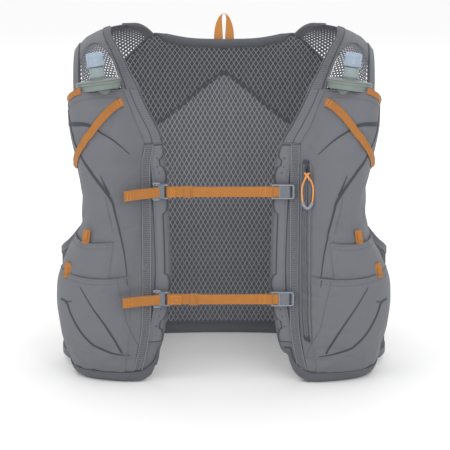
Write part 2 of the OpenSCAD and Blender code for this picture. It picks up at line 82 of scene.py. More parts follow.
# Outlines as (height, distance from the middle)
INNER_EDGE = [(0, 80), (12, 70), (36, 65), (91, 58), (209, 60), (259, 63), (290, 70), (306, 78),
              (322, 87), (340, 96), (361, 106), (402, 115)]
OUTER_EDGE = [(0, 170), (30, 176), (75, 180), (106, 179), (130, 174), (190, 154), (205, 152),
              (254, 160), (300, 170), (340, 174), (402, 174)]
SEAM_LINE = [(0, 100), (60, 89), (112, 87), (262, 87), (285, 86), (306, 96), (324, 104),
             (350, 118), (402, 135)]
POD_DEPTH = [(0, 14), (40, 27), (100, 35), (180, 45), (250, 50), (350, 53), (402, 54)]
BACK_EDGE = [(0, 130), (165, 133), (200, 128), (250, 119), (300, 116), (402, 118)]
CHEVRON = [(0, 335), (30, 312), (57, 289), (83, 270), (118, 246)]
NECKLINE = [(0, 371), (40, 373), (70, 380), (86, 387), (128, 348)]


def curve(points, u):
    """Smooth curve through the points (u, v), as v at u."""
    pts = np.array(points, float)
    u = np.asarray(u, float)
    n = len(pts)
    before = np.maximum(np.arange(n) - 1, 0)
    after = np.minimum(np.arange(n) + 1, n - 1)
    slope = (pts[after, 1] - pts[before, 1]) / (pts[after, 0] - pts[before, 0])
    i = np.clip(np.searchsorted(pts[:, 0], u, side="right") - 1, 0, n - 2)
    w = pts[i + 1, 0] - pts[i, 0]
    t = np.clip((u - pts[i, 0]) / w, 0, 1)
    r = 1 - t
    return (pts[i, 1] * (1 + 2 * t) * r * r + pts[i + 1, 1] * (1 + 2 * r) * t * t
            + w * t * r * (slope[i] * r - slope[i + 1] * t))


def mix(a, b, t):
    return a + (b - a) * t


def round_up(t):
    t = np.clip(t, 0, 1)
    return np.sqrt(1 - (1 - t) ** 2)


def smooth(t):
    t = np.clip(t, 0, 1)
    return t * t * (3 - 2 * t)


# ---------------------------------------------------------------- the torso


def depth_at(x):
    return TORSO_D * (1 - np.clip(np.abs(x) / TORSO_W, 0, 1) ** TORSO_N) ** (1 / TORSO_N)


def height_of(q):
    q = np.asarray(q, float)
    f = np.clip((q - BEND_Z) / CREST_ARC, 0, 1) * math.pi / 2
    return np.where(q <= BEND_Z, q, BEND_Z + CREST_RISE * np.sin(f))


def along(z):
    z = np.asarray(z, float)
    s = np.clip((z - BEND_Z) / CREST_RISE, 0, 1)
    return np.where(z <= BEND_Z, z, BEND_Z + CREST_ARC * np.arcsin(s) / (math.pi / 2))


def crest_drop(x):
    return CREST_FALL * (1 - round_up(1 - np.clip((x - CREST_IN) / CREST_HALF, 0, 1)))


def hem_z(x):
    inner = 30 * (1 - round_up(1 - (102 - x) / 26))
    outer = 30 * (1 - round_up(1 - (x - 150) / 42))
    return np.where(x < 102, inner, np.where(x > 150, outer, 0.0))


def wrap(x, q, facing, base):
    f = np.clip((q - BEND_Z) / CREST_ARC, 0, 1.25) * math.pi / 2
    y = facing * depth_at(x)
    low = base + q * (BEND_Z - base) / BEND_Z
    high = BEND_Z + (CREST_RISE - crest_drop(x)) * np.sin(f)
    return np.stack([x, mix(y, CREST_Y, 1 - np.cos(f)), np.where(q <= BEND_Z, low, high)], -1)


def front_at(x, q):
    return wrap(x, q, -1.0, hem_z(x))


def back_at(x, q):
    return wrap(x, q, 1.0, np.zeros_like(x))


def unit(v):
    return v / np.maximum(np.linalg.norm(v, axis=-1, keepdims=True), 1e-9)


def arrays(*values):
    return [np.array(v, float) for v in np.broadcast_arrays(*values)]


def front_off(x, q, h):
    """Points a height h out of the front of the torso."""
    x, q, h = arrays(x, q, h)
    n = unit(np.cross(front_at(x + 1, q) - front_at(x - 1, q),
                      front_at(x, q + 1) - front_at(x, q - 1)))
    p = front_at(x, q) + h[..., None] * n
    p[..., 2] = np.where(p[..., 2] < FLOOR_Z, FLOOR_Z + 0.1 * (p[..., 2] - FLOOR_Z), p[..., 2])
    return p


def back_off(x, q, h):
    """Points a height h out of the back of the torso; x may be on either side."""
    x, q, h = arrays(x, q, h)
    u = np.abs(x)
    n = unit(np.cross(back_at(u, q + 1) - back_at(u, q - 1),
                      back_at(u + 1, q) - back_at(np.maximum(u - 1, 0), q)))
    p = back_at(u, q) + h[..., None] * n
    p[..., 0] *= np.where(x < 0, -1, 1)
    return p


def q_at(x, z):
    """The height along the fabric of the front that lies at height z."""
    low = (z - hem_z(x)) * BEND_Z / (BEND_Z - hem_z(x))
    return np.where(z <= BEND_Z, low, along(z))


def ring_at(t):
    c = np.cos(t)
    return np.stack([TORSO_W * np.sin(t) ** (2 / TORSO_N),
                     -TORSO_D * np.sign(c) * np.abs(c) ** (2 / TORSO_N)], -1)


def ring_off(t, z, h):
    """Points round the wearer's side, t being the turn from the front."""
    t, z, h = arrays(t, z, h)
    r = ring_at(t + 0.02) - ring_at(t - 0.02)
    n = unit(np.stack([r[..., 1], -r[..., 0]], -1))
    p = ring_at(t) + h[..., None] * n
    return np.concatenate([p, z[..., None]], -1)


def turn_of(x):
    return math.asin((x / TORSO_W) ** (TORSO_N / 2))


def closer(q, s):
    return s * CLOSE * np.clip((BEND_Z - q) / 40, 0, 1)


def x_in(q, s):
    return curve(INNER_EDGE, height_of(q)) - closer(q, s)


def x_out(q):
    return curve(OUTER_EDGE, height_of(q))


def x_seam(q, s):
    return curve(SEAM_LINE, height_of(q)) - closer(q, s)


def band_h(x, q, s):
    """Height of the padded band beside the inner edge."""
    x0, x1 = x_in(q, s), x_seam(q, s)
    rise = np.where(x < x1, (x - x0) / (x1 - x0), np.clip(1 - (x - x1) / 9, 0, 1))
    return LINING_T + BAND_RISE * rise


def pod_out(q):
    """Outer edge of the flask pocket, which narrows toward its mouth."""
    return x_out(q) - GAP - MOUTH_IN * np.clip((height_of(q) - 200) / 130, 0, 1)


def pod_h(x, q, s):
    """Height of the flask pocket's inner face."""
    swell = np.sin(math.pi / 2 * np.clip((x - x_seam(q, s)) / POD_RISE, 0, 1))
    fall = round_up((pod_out(q) + GAP - x) / POD_SIDE)
    return LINING_T + GAP + mix(BAND_RISE, curve(POD_DEPTH, height_of(q)), swell) * fall


# ---------------------------------------------------------------- materials


def srgb(r, g, b):
    """Linear colour from 0-255 screen values."""
    def line(c):
        c /= 255
        return c / 12.92 if c <= 0.04045 else ((c + 0.055) / 1.055) ** 2.4
    return (line(r), line(g), line(b), 1.0)


class Nodes:
    """A material's node tree, built a node at a time."""

    def __init__(self, name):
        self.mat = bpy.data.materials.new(name)
        self.mat.use_nodes = True
        self.tree = self.mat.node_tree
        self.shader = self.tree.nodes["Principled BSDF"]

    def add(self, kind, **inputs):
        node = self.tree.nodes.new(kind)
        for key, value in inputs.items():
            if key in node.inputs:
                self.put(node.inputs[key], value)
            else:
                setattr(node, key, value)
        return node

    def put(self, socket, value):
        if isinstance(value, bpy.types.NodeSocket):
            self.tree.links.new(value, socket)
        else:
            socket.default_value = value

    def math(self, operation, a, b=0.5, c=0.5):
        node = self.tree.nodes.new("ShaderNodeMath")
        node.operation = operation
        for socket, value in zip(node.inputs, (a, b, c)):
            self.put(socket, value)
        return node.outputs[0]

    def coords(self, weave):
        """Weave coordinates in millimetres, from the piece's own map or from its place."""
        if weave:
            return self.add("ShaderNodeUVMap", uv_map="weave").outputs[0]
        place = self.add("ShaderNodeTexCoord").outputs["Object"]
        node = self.add("ShaderNodeVectorMath")
        node.operation = "SCALE"
        self.put(node.inputs[0], place)
        self.put(node.inputs["Scale"], 1000.0)
        return node.outputs[0]

    def noise(self, vector, size, detail=3.0):
        """Noise from 0 to 1 with lumps about that many millimetres across."""
        return self.add("ShaderNodeTexNoise", Vector=vector, Scale=1 / size, Detail=detail).outputs["Fac"]

    def ridges(self, axis, pitch):
        """A wave from 0 to 1 along one weave coordinate."""
        turn = self.math("MULTIPLY", axis, 2 * math.pi / pitch)
        return self.math("MULTIPLY_ADD", self.math("SINE", turn), 0.5, 0.5)

    def ramp(self, fac, low, high):
        node = self.add("ShaderNodeMix", data_type="RGBA")
        for index, value in ((0, fac), (6, low), (7, high)):
            self.put(node.inputs[index], value)
        return node.outputs[2]

    def bump(self, height, depth, strength=1.0):
        node = self.add("ShaderNodeBump", Height=height, Strength=strength, Distance=depth * MM)
        self.put(self.shader.inputs["Normal"], node.outputs[0])


def shade(color, k):
    return (color[0] * k, color[1] * k, color[2] * k, 1.0)


def plain_weave(name, color, pitch=1.0, depth=0.12, grid=0.0, contrast=0.16):
    """Woven cloth: crossing yarns, a faint ripstop grid, lighter and darker patches."""
    m = Nodes(name)
    uv = m.coords(True)
    axes = m.add("ShaderNodeSeparateXYZ", Vector=uv).outputs
    warp, weft = m.ridges(axes[0], pitch), m.ridges(axes[1], pitch)
    yarn = m.math("MAXIMUM", warp, weft)
    if grid:
        lines = m.math("MAXIMUM", m.math("POWER", m.ridges(axes[0], grid), 24.0),
                       m.math("POWER", m.ridges(axes[1], grid), 24.0))
        yarn = m.math("MULTIPLY_ADD", lines, 0.7, yarn)
    patch = m.math("MULTIPLY_ADD", m.noise(uv, 26), 0.6, m.math("MULTIPLY", m.noise(uv, 3.2), 0.4))
    # colour: partly painted shade; the random patches are the cloth's own tone, while lighter yarns and grid
    # lines over darker gaps follow their relief as painted shade
    tone = m.math("MULTIPLY_ADD", yarn, 0.25, m.math("MULTIPLY", patch, 0.75))
    m.put(m.shader.inputs["Base Color"],
          m.ramp(tone, shade(color, 1 - contrast), shade(color, 1 + contrast)))
    m.put(m.shader.inputs["Roughness"], m.math("MULTIPLY_ADD", patch, 0.14, 0.72))
    m.shader.inputs["Sheen Weight"].default_value = 0.12
    m.shader.inputs["Sheen Roughness"].default_value = 0.5
    m.shader.inputs["Specular IOR Level"].default_value = 0.25
    m.bump(yarn, depth)
    return m.mat


def knit(name, color, pitch=1.8, depth=0.3, contrast=0.3):
    """Knitted cloth: rows of raised loops, with painted shade darkening the hollows between them."""
    m = Nodes(name)
    uv = m.coords(True)
    axes = m.add("ShaderNodeSeparateXYZ", Vector=uv).outputs
    slant = m.math("ADD", axes[0], m.math("MULTIPLY", axes[1], 0.5))
    counter = m.math("SUBTRACT", axes[0], m.math("MULTIPLY", axes[1], 0.5))
    loops = m.math("MULTIPLY", m.ridges(slant, pitch), m.ridges(counter, pitch))
    # colour: random lumps, and painted shade that follows the loops' relief, lighter on the loops and darker
    # in the hollows
    tone = m.math("MULTIPLY_ADD", m.noise(uv, 18), 0.35, m.math("MULTIPLY", loops, 0.65))
    m.put(m.shader.inputs["Base Color"],
          m.ramp(tone, shade(color, 1 - contrast), shade(color, 1 + contrast)))
    m.put(m.shader.inputs["Roughness"], m.math("MULTIPLY_ADD", loops, 0.1, 0.78))
    m.shader.inputs["Sheen Weight"].default_value = 0.15
    m.shader.inputs["Specular IOR Level"].default_value = 0.2
    m.bump(loops, depth)
    return m.mat


def webbing_cloth(name, color):
    """Woven tape: cross ribs, a long line down each edge, slight fading."""
    m = Nodes(name)
    uv = m.coords(True)
    axes = m.add("ShaderNodeSeparateXYZ", Vector=uv).outputs
    ribs = m.ridges(m.math("ADD", axes[1], m.math("MULTIPLY", axes[0], 0.35)), 1.1)
    lines = m.ridges(axes[0], 1.9)
    yarn = m.math("MULTIPLY_ADD", lines, 0.4, m.math("MULTIPLY", ribs, 0.6))
    # colour: random fading, and painted shade that follows the ribs' relief, lighter on the ribs and darker
    # between them
    tone = m.math("MULTIPLY_ADD", m.noise(uv, 9), 0.5, m.math("MULTIPLY", yarn, 0.5))
    m.put(m.shader.inputs["Base Color"], m.ramp(tone, shade(color, 0.74), shade(color, 1.22)))
    m.put(m.shader.inputs["Roughness"], m.math("MULTIPLY_ADD", yarn, 0.12, 0.62))
    m.shader.inputs["Sheen Weight"].default_value = 0.15
    m.shader.inputs["Specular IOR Level"].default_value = 0.3
    m.bump(yarn, 0.25)
    return m.mat


def yarn_gloss(name, color, roughness=0.55):
    """Loose yarn or thread."""
    m = Nodes(name)
    uv = m.coords(False)
    tone = m.noise(uv, 4.0)
    m.put(m.shader.inputs["Base Color"], m.ramp(tone, shade(color, 0.8), shade(color, 1.2)))
    m.put(m.shader.inputs["Roughness"], m.math("MULTIPLY_ADD", tone, 0.15, roughness))
    m.shader.inputs["Specular IOR Level"].default_value = 0.3
    m.bump(m.noise(uv, 0.6), 0.1)
    return m.mat


def moulded(name, color, roughness=0.42, grain=0.05, coat=0.0):
    """Moulded plastic or rubber: fine spark-erosion grain and handling marks."""
    m = Nodes(name)
    place = m.coords(False)
    marks = m.noise(place, 5.0)
    m.put(m.shader.inputs["Base Color"], m.ramp(marks, shade(color, 0.9), shade(color, 1.1)))
    m.put(m.shader.inputs["Roughness"], m.math("MULTIPLY_ADD", marks, 0.18, roughness - 0.08))
    m.shader.inputs["Coat Weight"].default_value = coat
    m.bump(m.noise(place, 0.35), grain)
    return m.mat


def clear(name, color, roughness=0.3, passes=0.6, waves=0.1):
    """Translucent flexible polymer."""
    m = Nodes(name)
    place = m.coords(False)
    cloud = m.noise(place, 9.0)
    m.put(m.shader.inputs["Base Color"], m.ramp(cloud, shade(color, 0.92), shade(color, 1.06)))
    m.put(m.shader.inputs["Roughness"], m.math("MULTIPLY_ADD", cloud, 0.15, roughness - 0.05))
    m.shader.inputs["Transmission Weight"].default_value = passes
    m.shader.inputs["IOR"].default_value = 1.4
    m.shader.inputs["Subsurface Weight"].default_value = 0.1
    m.shader.inputs["Subsurface Radius"].default_value = (0.004, 0.004, 0.004)
    m.bump(m.noise(place, 3.0), waves)
    return m.mat


GREY = srgb(102, 103, 108)
MATERIALS = {
    "pod": plain_weave("pod_fabric", GREY, pitch=1.2, depth=0.05, grid=6.0, contrast=0.07),
    "patch": plain_weave("pocket_fabric", srgb(103, 104, 109), pitch=1.4, depth=0.06, contrast=0.08),
    "shoulder": plain_weave("shoulder_fabric", srgb(104, 105, 110), pitch=1.0, depth=0.08,
                            contrast=0.10),
    "lining": knit("lining_mesh", srgb(92, 93, 98), pitch=2.4, depth=0.4),
    "band": knit("band_knit", srgb(107, 108, 113), pitch=1.6, depth=0.2, contrast=0.16),
    "tape": knit("edge_tape_knit", srgb(94, 95, 100), pitch=2.6, depth=0.4, contrast=0.22),
    "spacer": knit("spacer_ground", srgb(98, 100, 105), pitch=2.5, depth=0.5, contrast=0.22),
    "yoke": knit("yoke_ground", srgb(78, 80, 85), pitch=2.5, depth=0.5, contrast=0.22),
    "spacer_yarn": yarn_gloss("spacer_yarn", srgb(170, 171, 177)),
    "yoke_yarn": yarn_gloss("yoke_yarn", srgb(154, 155, 161)),
    "open_knit": yarn_gloss("open_knit_yarn", srgb(108, 109, 116), 0.65),
    "wing": yarn_gloss("wing_yarn", srgb(92, 93, 98), 0.7),
    "binding": plain_weave("binding_fabric", srgb(90, 91, 96), pitch=0.9, depth=0.1, contrast=0.12),
    "base": plain_weave("base_fabric", srgb(96, 97, 101), pitch=0.9, depth=0.1, contrast=0.15),
    "accent": plain_weave("accent_film", srgb(60, 65, 71), pitch=1.2, depth=0.03, contrast=0.08),
    "thread": yarn_gloss("thread_grey", srgb(92, 93, 97)),
    "tape_yarn": yarn_gloss("tape_yarn", srgb(117, 118, 124)),
    "orange_thread": yarn_gloss("thread_orange", srgb(214, 146, 82)),
    "webbing": webbing_cloth("orange_webbing", srgb(166, 107, 46)),
    "elastic": webbing_cloth("orange_elastic", srgb(162, 104, 46)),
    "haul": webbing_cloth("haul_webbing", srgb(196, 130, 66)),
    "rail": moulded("rail_tpu", srgb(98, 99, 105), 0.55, 0.06),
    # painted shade: a dark finish for the shadow line round each rail and the shade in each hook's window
    # and slot
    "painted_shade": moulded("groove_shadow", srgb(62, 64, 69), 0.8, 0.05),
    # painted highlight: a lighter, glossier copy of the buckle plastic for raised rims, ribs and wings
    "buckle_rim_highlight": moulded("buckle_rim_highlight", srgb(128, 134, 143), 0.3, 0.03, 0.3),
    "buckle": moulded("buckle_acetal", srgb(98, 102, 109), 0.42, 0.04),
    "slider": moulded("slider_coating", srgb(52, 56, 62), 0.35, 0.03),
    "grip": moulded("grip_rubber", srgb(128, 132, 138), 0.6, 0.08),
    # painted shade: a near-black finish for the shade inside holes and open zips
    "hole": moulded("hole_shadow", srgb(30, 32, 36), 0.8, 0.02),
    "zip": plain_weave("zip_tape", srgb(98, 99, 104), pitch=0.8, depth=0.1, contrast=0.12),
    "coil": moulded("zip_coil", srgb(98, 100, 105), 0.4, 0.02),
    "film": clear("flask_film", srgb(176, 190, 192), 0.22, 0.55),
    "collar": clear("collar_frost", srgb(122, 132, 128), 0.38, 0.12, 0.05),
    "valve": clear("valve_silicone", srgb(156, 168, 170), 0.4, 0.25, 0.05),
    "olive": moulded("collar_line", srgb(96, 100, 86), 0.5, 0.03),
    "cover": clear("cover_clear", srgb(172, 188, 204), 0.18, 0.35, 0.03),
}

# ---------------------------------------------------------------- mesh helpers


def mirrored(verts, faces, s):
    """The same mesh on the wearer's right where s is -1."""
    if s > 0:
        return verts, faces
    return np.asarray(verts) * [-1, 1, 1], [f[::-1] for f in faces]


def add_piece(name, part, material, body=None, node=None, s=1):
    """A mesh object from a part: points in millimetres, faces and, for cloth, weave places.

    A piece with no body is blended later. material is its finish, node the CAD solid it stands for.
    """
    verts, faces = mirrored(part[0], part[1], s)
    mesh = bpy.data.meshes.new(name)
    mesh.from_pydata((np.asarray(verts, float) * MM).tolist(), [], [list(map(int, f)) for f in faces])
    if len(part) > 2:
        layer = mesh.uv_layers.new(name="weave")
        index = np.zeros(len(mesh.loops), int)
        mesh.loops.foreach_get("vertex_index", index)
        layer.data.foreach_set("uv", np.asarray(part[2], float)[index].ravel())
    mesh.materials.append(MATERIALS[material])
    mesh.shade_smooth()
    mesh.set_sharp_from_angle(angle=math.radians(55))
    mesh.validate()
    piece = bpy.data.objects.new(name, mesh)
    bpy.context.scene.collection.objects.link(piece)
    if body:
        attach(piece, body)
    if node:
        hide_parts(node)
    return piece


def grid_faces(ni, nj, start=0, flip=False):
    """Quads of a grid with ni by nj cells whose rows hold ni + 1 points."""
    faces = []
    for j in range(nj):
        for i in range(ni):
            a = start + j * (ni + 1) + i
            quad = [a, a + 1, a + ni + 2, a + ni + 1]
            faces.append(quad[::-1] if flip else quad)
    return faces


def tube_faces(rings, sides, closed=False):
    """Quads between rings of points, with a face over each end unless the rings close up."""
    faces = []
    for i in range(rings if closed else rings - 1):
        here, after = i * sides, (i + 1) % rings * sides
        for k in range(sides):
            n = (k + 1) % sides
            faces.append([here + k, here + n, after + n, after + k])
    if not closed:
        faces.append(list(range(sides))[::-1])
        faces.append([(rings - 1) * sides + k for k in range(sides)])
    return faces


def rim_of(ni, nj):
    """Indices round a grid, in order."""
    w = ni + 1
    return ([i for i in range(ni)] + [j * w + ni for j in range(nj)]
            + [nj * w + i for i in range(ni, 0, -1)] + [j * w for j in range(nj, 0, -1)])


def slab(outer, inner):
    """Closed sheet between two grids of points, with a rounded rim. Returns points and faces."""
    nj, ni = outer.shape[0] - 1, outer.shape[1] - 1
    n = (ni + 1) * (nj + 1)
    rim = rim_of(ni, nj)
    centre = (outer + inner) / 2
    step = np.zeros_like(centre)
    step[:, 0] += centre[:, 0] - centre[:, 1]
    step[:, -1] += centre[:, -1] - centre[:, -2]
    step[0] += centre[0] - centre[1]
    step[-1] += centre[-1] - centre[-2]
    thick = np.linalg.norm(outer - inner, axis=-1, keepdims=True)
    edge = (centre + unit(step) * np.minimum(thick * 0.32, 0.7)).reshape(-1, 3)[rim]
    verts = np.concatenate([outer.reshape(-1, 3), inner.reshape(-1, 3), edge])
    faces = grid_faces(ni, nj) + grid_faces(ni, nj, n, flip=True)
    m = len(rim)
    for k in range(m):
        a, b = rim[k], rim[(k + 1) % m]
        ea, eb = 2 * n + k, 2 * n + (k + 1) % m
        faces.append([b, a, ea, eb])
        faces.append([eb, ea, a + n, b + n])
    return verts, faces


def share_grid(ni, nj):
    """Shares across and along a patch."""
    return np.meshgrid(np.linspace(0, 1, ni + 1), np.linspace(0, 1, nj + 1))


def patch_piece(name, spot, size, cells, thick, material, body=None, node=None, s=1):
    """A sheet of cloth: spot(a, b, h) gives its points, size its weave size in millimetres."""
    a, b = share_grid(*cells)
    verts, faces = slab(spot(a, b, thick), spot(a, b, 0.0))
    flat = np.stack([a * size[0], b * size[1]], -1).reshape(-1, 2)
    uv = np.concatenate([flat, flat, flat[rim_of(*cells)]])
    return add_piece(name, (verts, faces, uv), material, body, node, s)


def arc(n):
    return np.linspace(0, 1, n)


def run_of(line):
    """Distance along a line at each of its points."""
    return np.concatenate([[0], np.cumsum(np.linalg.norm(np.diff(line, axis=0), axis=1))])


def at_run(u, run, values):
    """Rows of values at distance u along their line."""
    return np.stack([np.interp(u, run, values[:, k]) for k in range(values.shape[1])], -1)


def resample(points, step):
    """Points about step apart along a line."""
    points = np.asarray(points, float)
    run = run_of(points)
    count = max(2, int(round(run[-1] / step)) + 1)
    return at_run(np.linspace(0, run[-1], count), run, points)


def spline(points, n=12):
    """Catmull-Rom curve through a few points."""
    p = np.asarray(points, float)
    p = np.concatenate([[2 * p[0] - p[1]], p, [2 * p[-1] - p[-2]]])
    out = []
    for i in range(1, len(p) - 2):
        for t in np.linspace(0, 1, n, endpoint=False):
            out.append(0.5 * (2 * p[i] + (p[i + 1] - p[i - 1]) * t
                              + (2 * p[i - 1] - 5 * p[i] + 4 * p[i + 1] - p[i + 2]) * t ** 2
                              + (3 * p[i] - p[i - 1] - 3 * p[i + 1] + p[i + 2]) * t ** 3))
    out.append(p[-2])
    return np.array(out)


# Section of a tape as (share of its width, share of its thickness)
TAPE_SECTION = [(-0.5, 0.5), (-0.47, 1), (-0.25, 1), (0, 1), (0.25, 1), (0.47, 1),
                (0.5, 0.5), (0.47, 0), (0, 0), (-0.47, 0)]


def sweep(line, across, normal, width, thick, closed=False):
    """A flat tape with rounded edges along a line. width and thick may change along it."""
    line = np.asarray(line, float)
    n = len(line)
    across, normal = (np.broadcast_to(v, (n, 3)).astype(float) for v in (across, normal))
    width, thick = (np.broadcast_to(v, (n,)).astype(float) for v in (width, thick))
    run = run_of(line)
    verts, uv = [], []
    for i in range(n):
        for u, v in TAPE_SECTION:
            verts.append(line[i] + across[i] * u * width[i] + normal[i] * v * thick[i])
            uv.append((u * width[i], run[i]))
    return np.array(verts), tube_faces(n, len(TAPE_SECTION), closed), np.array(uv)


def frame_of(line, base):
    """Normals and sideways directions for a tape along a line that lies over another."""
    n = unit(line - base)
    return n, unit(np.cross(np.gradient(line, axis=0), n))


def joined(parts):
    """Several (points, faces, uv) as one mesh."""
    verts, faces, uv, start = [], [], [], 0
    for v, f, t in parts:
        verts.append(v)
        uv.append(t)
        faces += [[i + start for i in face] for face in f]
        start += len(v)
    return np.concatenate(verts), faces, np.concatenate(uv)


def round_tube(line, radius, sides=8):
    """A tube along a line, its radius constant or one for each point."""
    line = np.asarray(line, float)
    radius = np.broadcast_to(radius, (len(line),))
    t = unit(np.gradient(line, axis=0))
    side = np.cross(t[0], [0.0, -1.0, 0.02])
    run = run_of(line)
    verts, uv = [], []
    for i in range(len(line)):
        side = unit(side - np.dot(side, t[i]) * t[i])
        up = np.cross(t[i], side)
        for k in range(sides):
            angle = 2 * math.pi * k / sides
            verts.append(line[i] + radius[i] * (math.cos(angle) * side + math.sin(angle) * up))
            uv.append((k * radius[i], run[i]))
    return np.array(verts), tube_faces(len(line), sides), np.array(uv)


def stitches(line, normal, length=2.4, pitch=3.4, radius=0.32):
    """Sewn stitches that lie on a surface along a line: small raised ovals of thread."""
    line = np.asarray(line, float)
    run = run_of(line)
    normal = np.broadcast_to(normal, line.shape)
    rise = np.array([[-0.1], [0.22], [0.22], [-0.1]])
    parts = []
    for u in np.arange(pitch / 2, run[-1] - length / 2, pitch):
        ends = [u - length / 2, u - length / 5, u + length / 5, u + length / 2]
        p = at_run(ends, run, line) + unit(at_run(u, run, normal)) * rise
        parts.append(round_tube(p, [radius * 0.5, radius, radius, radius * 0.5], 5))
    return parts


def stitches_over(line, base, *sizes):
    """Stitches along a line that lies over another."""
    return stitches(line, unit(line - base), *sizes)


def sew(name, rows, body, thread="thread", s=1):
    """Rows of stitches as one piece."""
    return add_piece(name, joined(rows)[:2], thread, body, s=s)


def zigzag_yarns(spot, starts, shares, rise, lift):
    """Rows of raised yarn over a tape, each of which rises and falls twice from share to share."""
    zigzag, swell = np.array([0, 1, 0, 1, 0]), np.array([0, 1, 1, 1, 0])
    across = np.linspace(*shares, 5)
    return [round_tube(spot(across, start + rise * zigzag, lift + 0.5 * swell), 0.35 + 0.25 * swell, 5)
            for start in starts]


def lathe(profile, sides, ribs=0, rib_depth=0.0, rib_range=(0, 0)):
    """A turned shape from (radius, height) points, with grip ribs over a range of heights."""
    verts = []
    for r, z in profile:
        for k in range(sides):
            angle = 2 * math.pi * k / sides
            extra = rib_depth * math.cos(ribs * angle) if rib_range[0] <= z <= rib_range[1] else 0
            verts.append(((r + extra) * math.cos(angle), (r + extra) * math.sin(angle), z))
    return np.array(verts), tube_faces(len(profile), sides)


def open_mesh(name, spot, size, pitch, hole, yarn, material, body=None, node=None, s=1,
              keep=None):
    """Open knit with round holes in staggered rows, as real geometry with a raised edge."""
    columns, rows = max(2, round(size[0] / pitch)), max(2, round(size[1] / (pitch * 0.87)))
    corner = [(-0.5, -0.5), (0, -0.5), (0.5, -0.5), (0.5, 0), (0.5, 0.5), (0, 0.5), (-0.5, 0.5), (-0.5, 0)]
    turns = [math.pi / 4 * k - 3 * math.pi / 4 for k in range(8)]
    ring = [(math.cos(turn) * hole, math.sin(turn) * hole) for turn in turns]
    rims = [(p, 0.0) for p in corner] + [(p, yarn) for p in ring] + [(p, -yarn) for p in ring]
    cells = np.array([(i + 0.5 - 0.5 * (j % 2), j + 0.5)
                      for j in range(rows) for i in range(columns + (j % 2))])
    blocks = []
    for (dx, dy), h in rims:
        a = np.clip((cells[:, 0] + dx) / columns, 0, 1)
        b = np.clip((cells[:, 1] + dy) / rows, 0, 1)
        blocks.append(spot(a, b, h * 0.5))
    a, b = cells[:, 0] / columns, cells[:, 1] / rows
    wanted = (a > 0.001) & (a < 0.999)
    if keep is not None:
        wanted &= keep(a, b)
    verts = np.stack(blocks, 1)[wanted]
    faces = []
    for base in range(0, len(verts) * 24, 24):
        for k in range(8):
            n = (k + 1) % 8
            faces.append([base + k, base + n, base + 8 + n, base + 8 + k])
            faces.append([base + 8 + k, base + 8 + n, base + 16 + n, base + 16 + k])
    return add_piece(name, (verts.reshape(-1, 3), faces), material, body, node, s)


# ---------------------------------------------------------------- camera and light

LOOK_AT = Vector((0, 0, 0.2))
VIEW_DISTANCE, VIEW_TILT = 2.5, math.radians(12)


def make_camera():
    data = bpy.data.cameras.new("camera")
    camera = bpy.data.objects.new("camera", data)
    bpy.context.scene.collection.objects.link(camera)
    bpy.context.scene.camera = camera
    camera.location = LOOK_AT + VIEW_DISTANCE * Vector((0, -math.cos(VIEW_TILT), math.sin(VIEW_TILT)))
    camera.rotation_euler = (math.pi / 2 - VIEW_TILT, 0, 0)
    data.sensor_width = 36
    data.lens = 167.4
    data.shift_x = 1 / 450
    data.shift_y = -30 / 450


def area_light(name, place, size, power):
    data = bpy.data.lights.new(name, "AREA")
    data.shape = "RECTANGLE"
    data.size, data.size_y = size
    data.energy = power
    light = bpy.data.objects.new(name, data)
    light.location = place
    light.rotation_euler = (LOOK_AT - Vector(place)).to_track_quat("-Z", "Y").to_euler()
    bpy.context.scene.collection.objects.link(light)


def make_studio():
    world = bpy.data.worlds.new("studio")
    world.use_nodes = True
    world.node_tree.nodes["Background"].inputs["Color"].default_value = (1.0, 1.0, 1.0, 1)
    world.node_tree.nodes["Background"].inputs["Strength"].default_value = 1.0
    bpy.context.scene.world = world
    bpy.context.scene.view_settings.view_transform = "Standard"
    area_light("key", (0.3, -2.3, 1.3), (1.8, 1.2), 20)
    area_light("fill", (-1.9, -1.2, 0.9), (1.2, 1.4), 5)
    area_light("rim", (0.0, 1.8, 1.6), (1.8, 1.0), 10)
    m = Nodes("studio_floor")
    m.shader.inputs["Base Color"].default_value = (0.95, 0.95, 0.95, 1)
    m.shader.inputs["Roughness"].default_value = 0.9
    m.shader.inputs["Specular IOR Level"].default_value = 0.0
    mesh = bpy.data.meshes.new("floor")
    mesh.from_pydata([(-6, -4, 0), (6, -4, 0), (6, 9, 0), (-6, 9, 0)], [], [(0, 1, 2, 3)])
    mesh.materials.append(m.mat)
    floor = bpy.data.objects.new("floor", mesh)
    bpy.context.scene.collection.objects.link(floor)


make_camera()
make_studio()

# ---------------------------------------------------------------- the pull cord

SLIDER_AT = np.array([94.51, -124.25, 254.61])
# Route of the pull cord, from one side of its knot round to the other
CORD_ROUTE = np.array([
    (-1.8, -6, -7.2), (-4, -5.5, -11), (-6, -5.5, -17), (-6.5, -6, -24), (-6, -6, -31),
    (-5, -6, -37), (-2.5, -6, -41), (0, -6, -42.5), (2.5, -6, -41), (5, -6, -37),
    (6, -6, -31), (6.5, -6, -24), (6, -5.5, -17), (4, -5.5, -11), (1.4, -6, -7.2)]) + SLIDER_AT
CORD_D, GRIP_R = 2.0, 1.9
CORD_STEPS = 6
GRIP_FROM, GRIP_TO = 5, 9
KNOT_AT = SLIDER_AT + [-0.8, -6.2, -3.5]


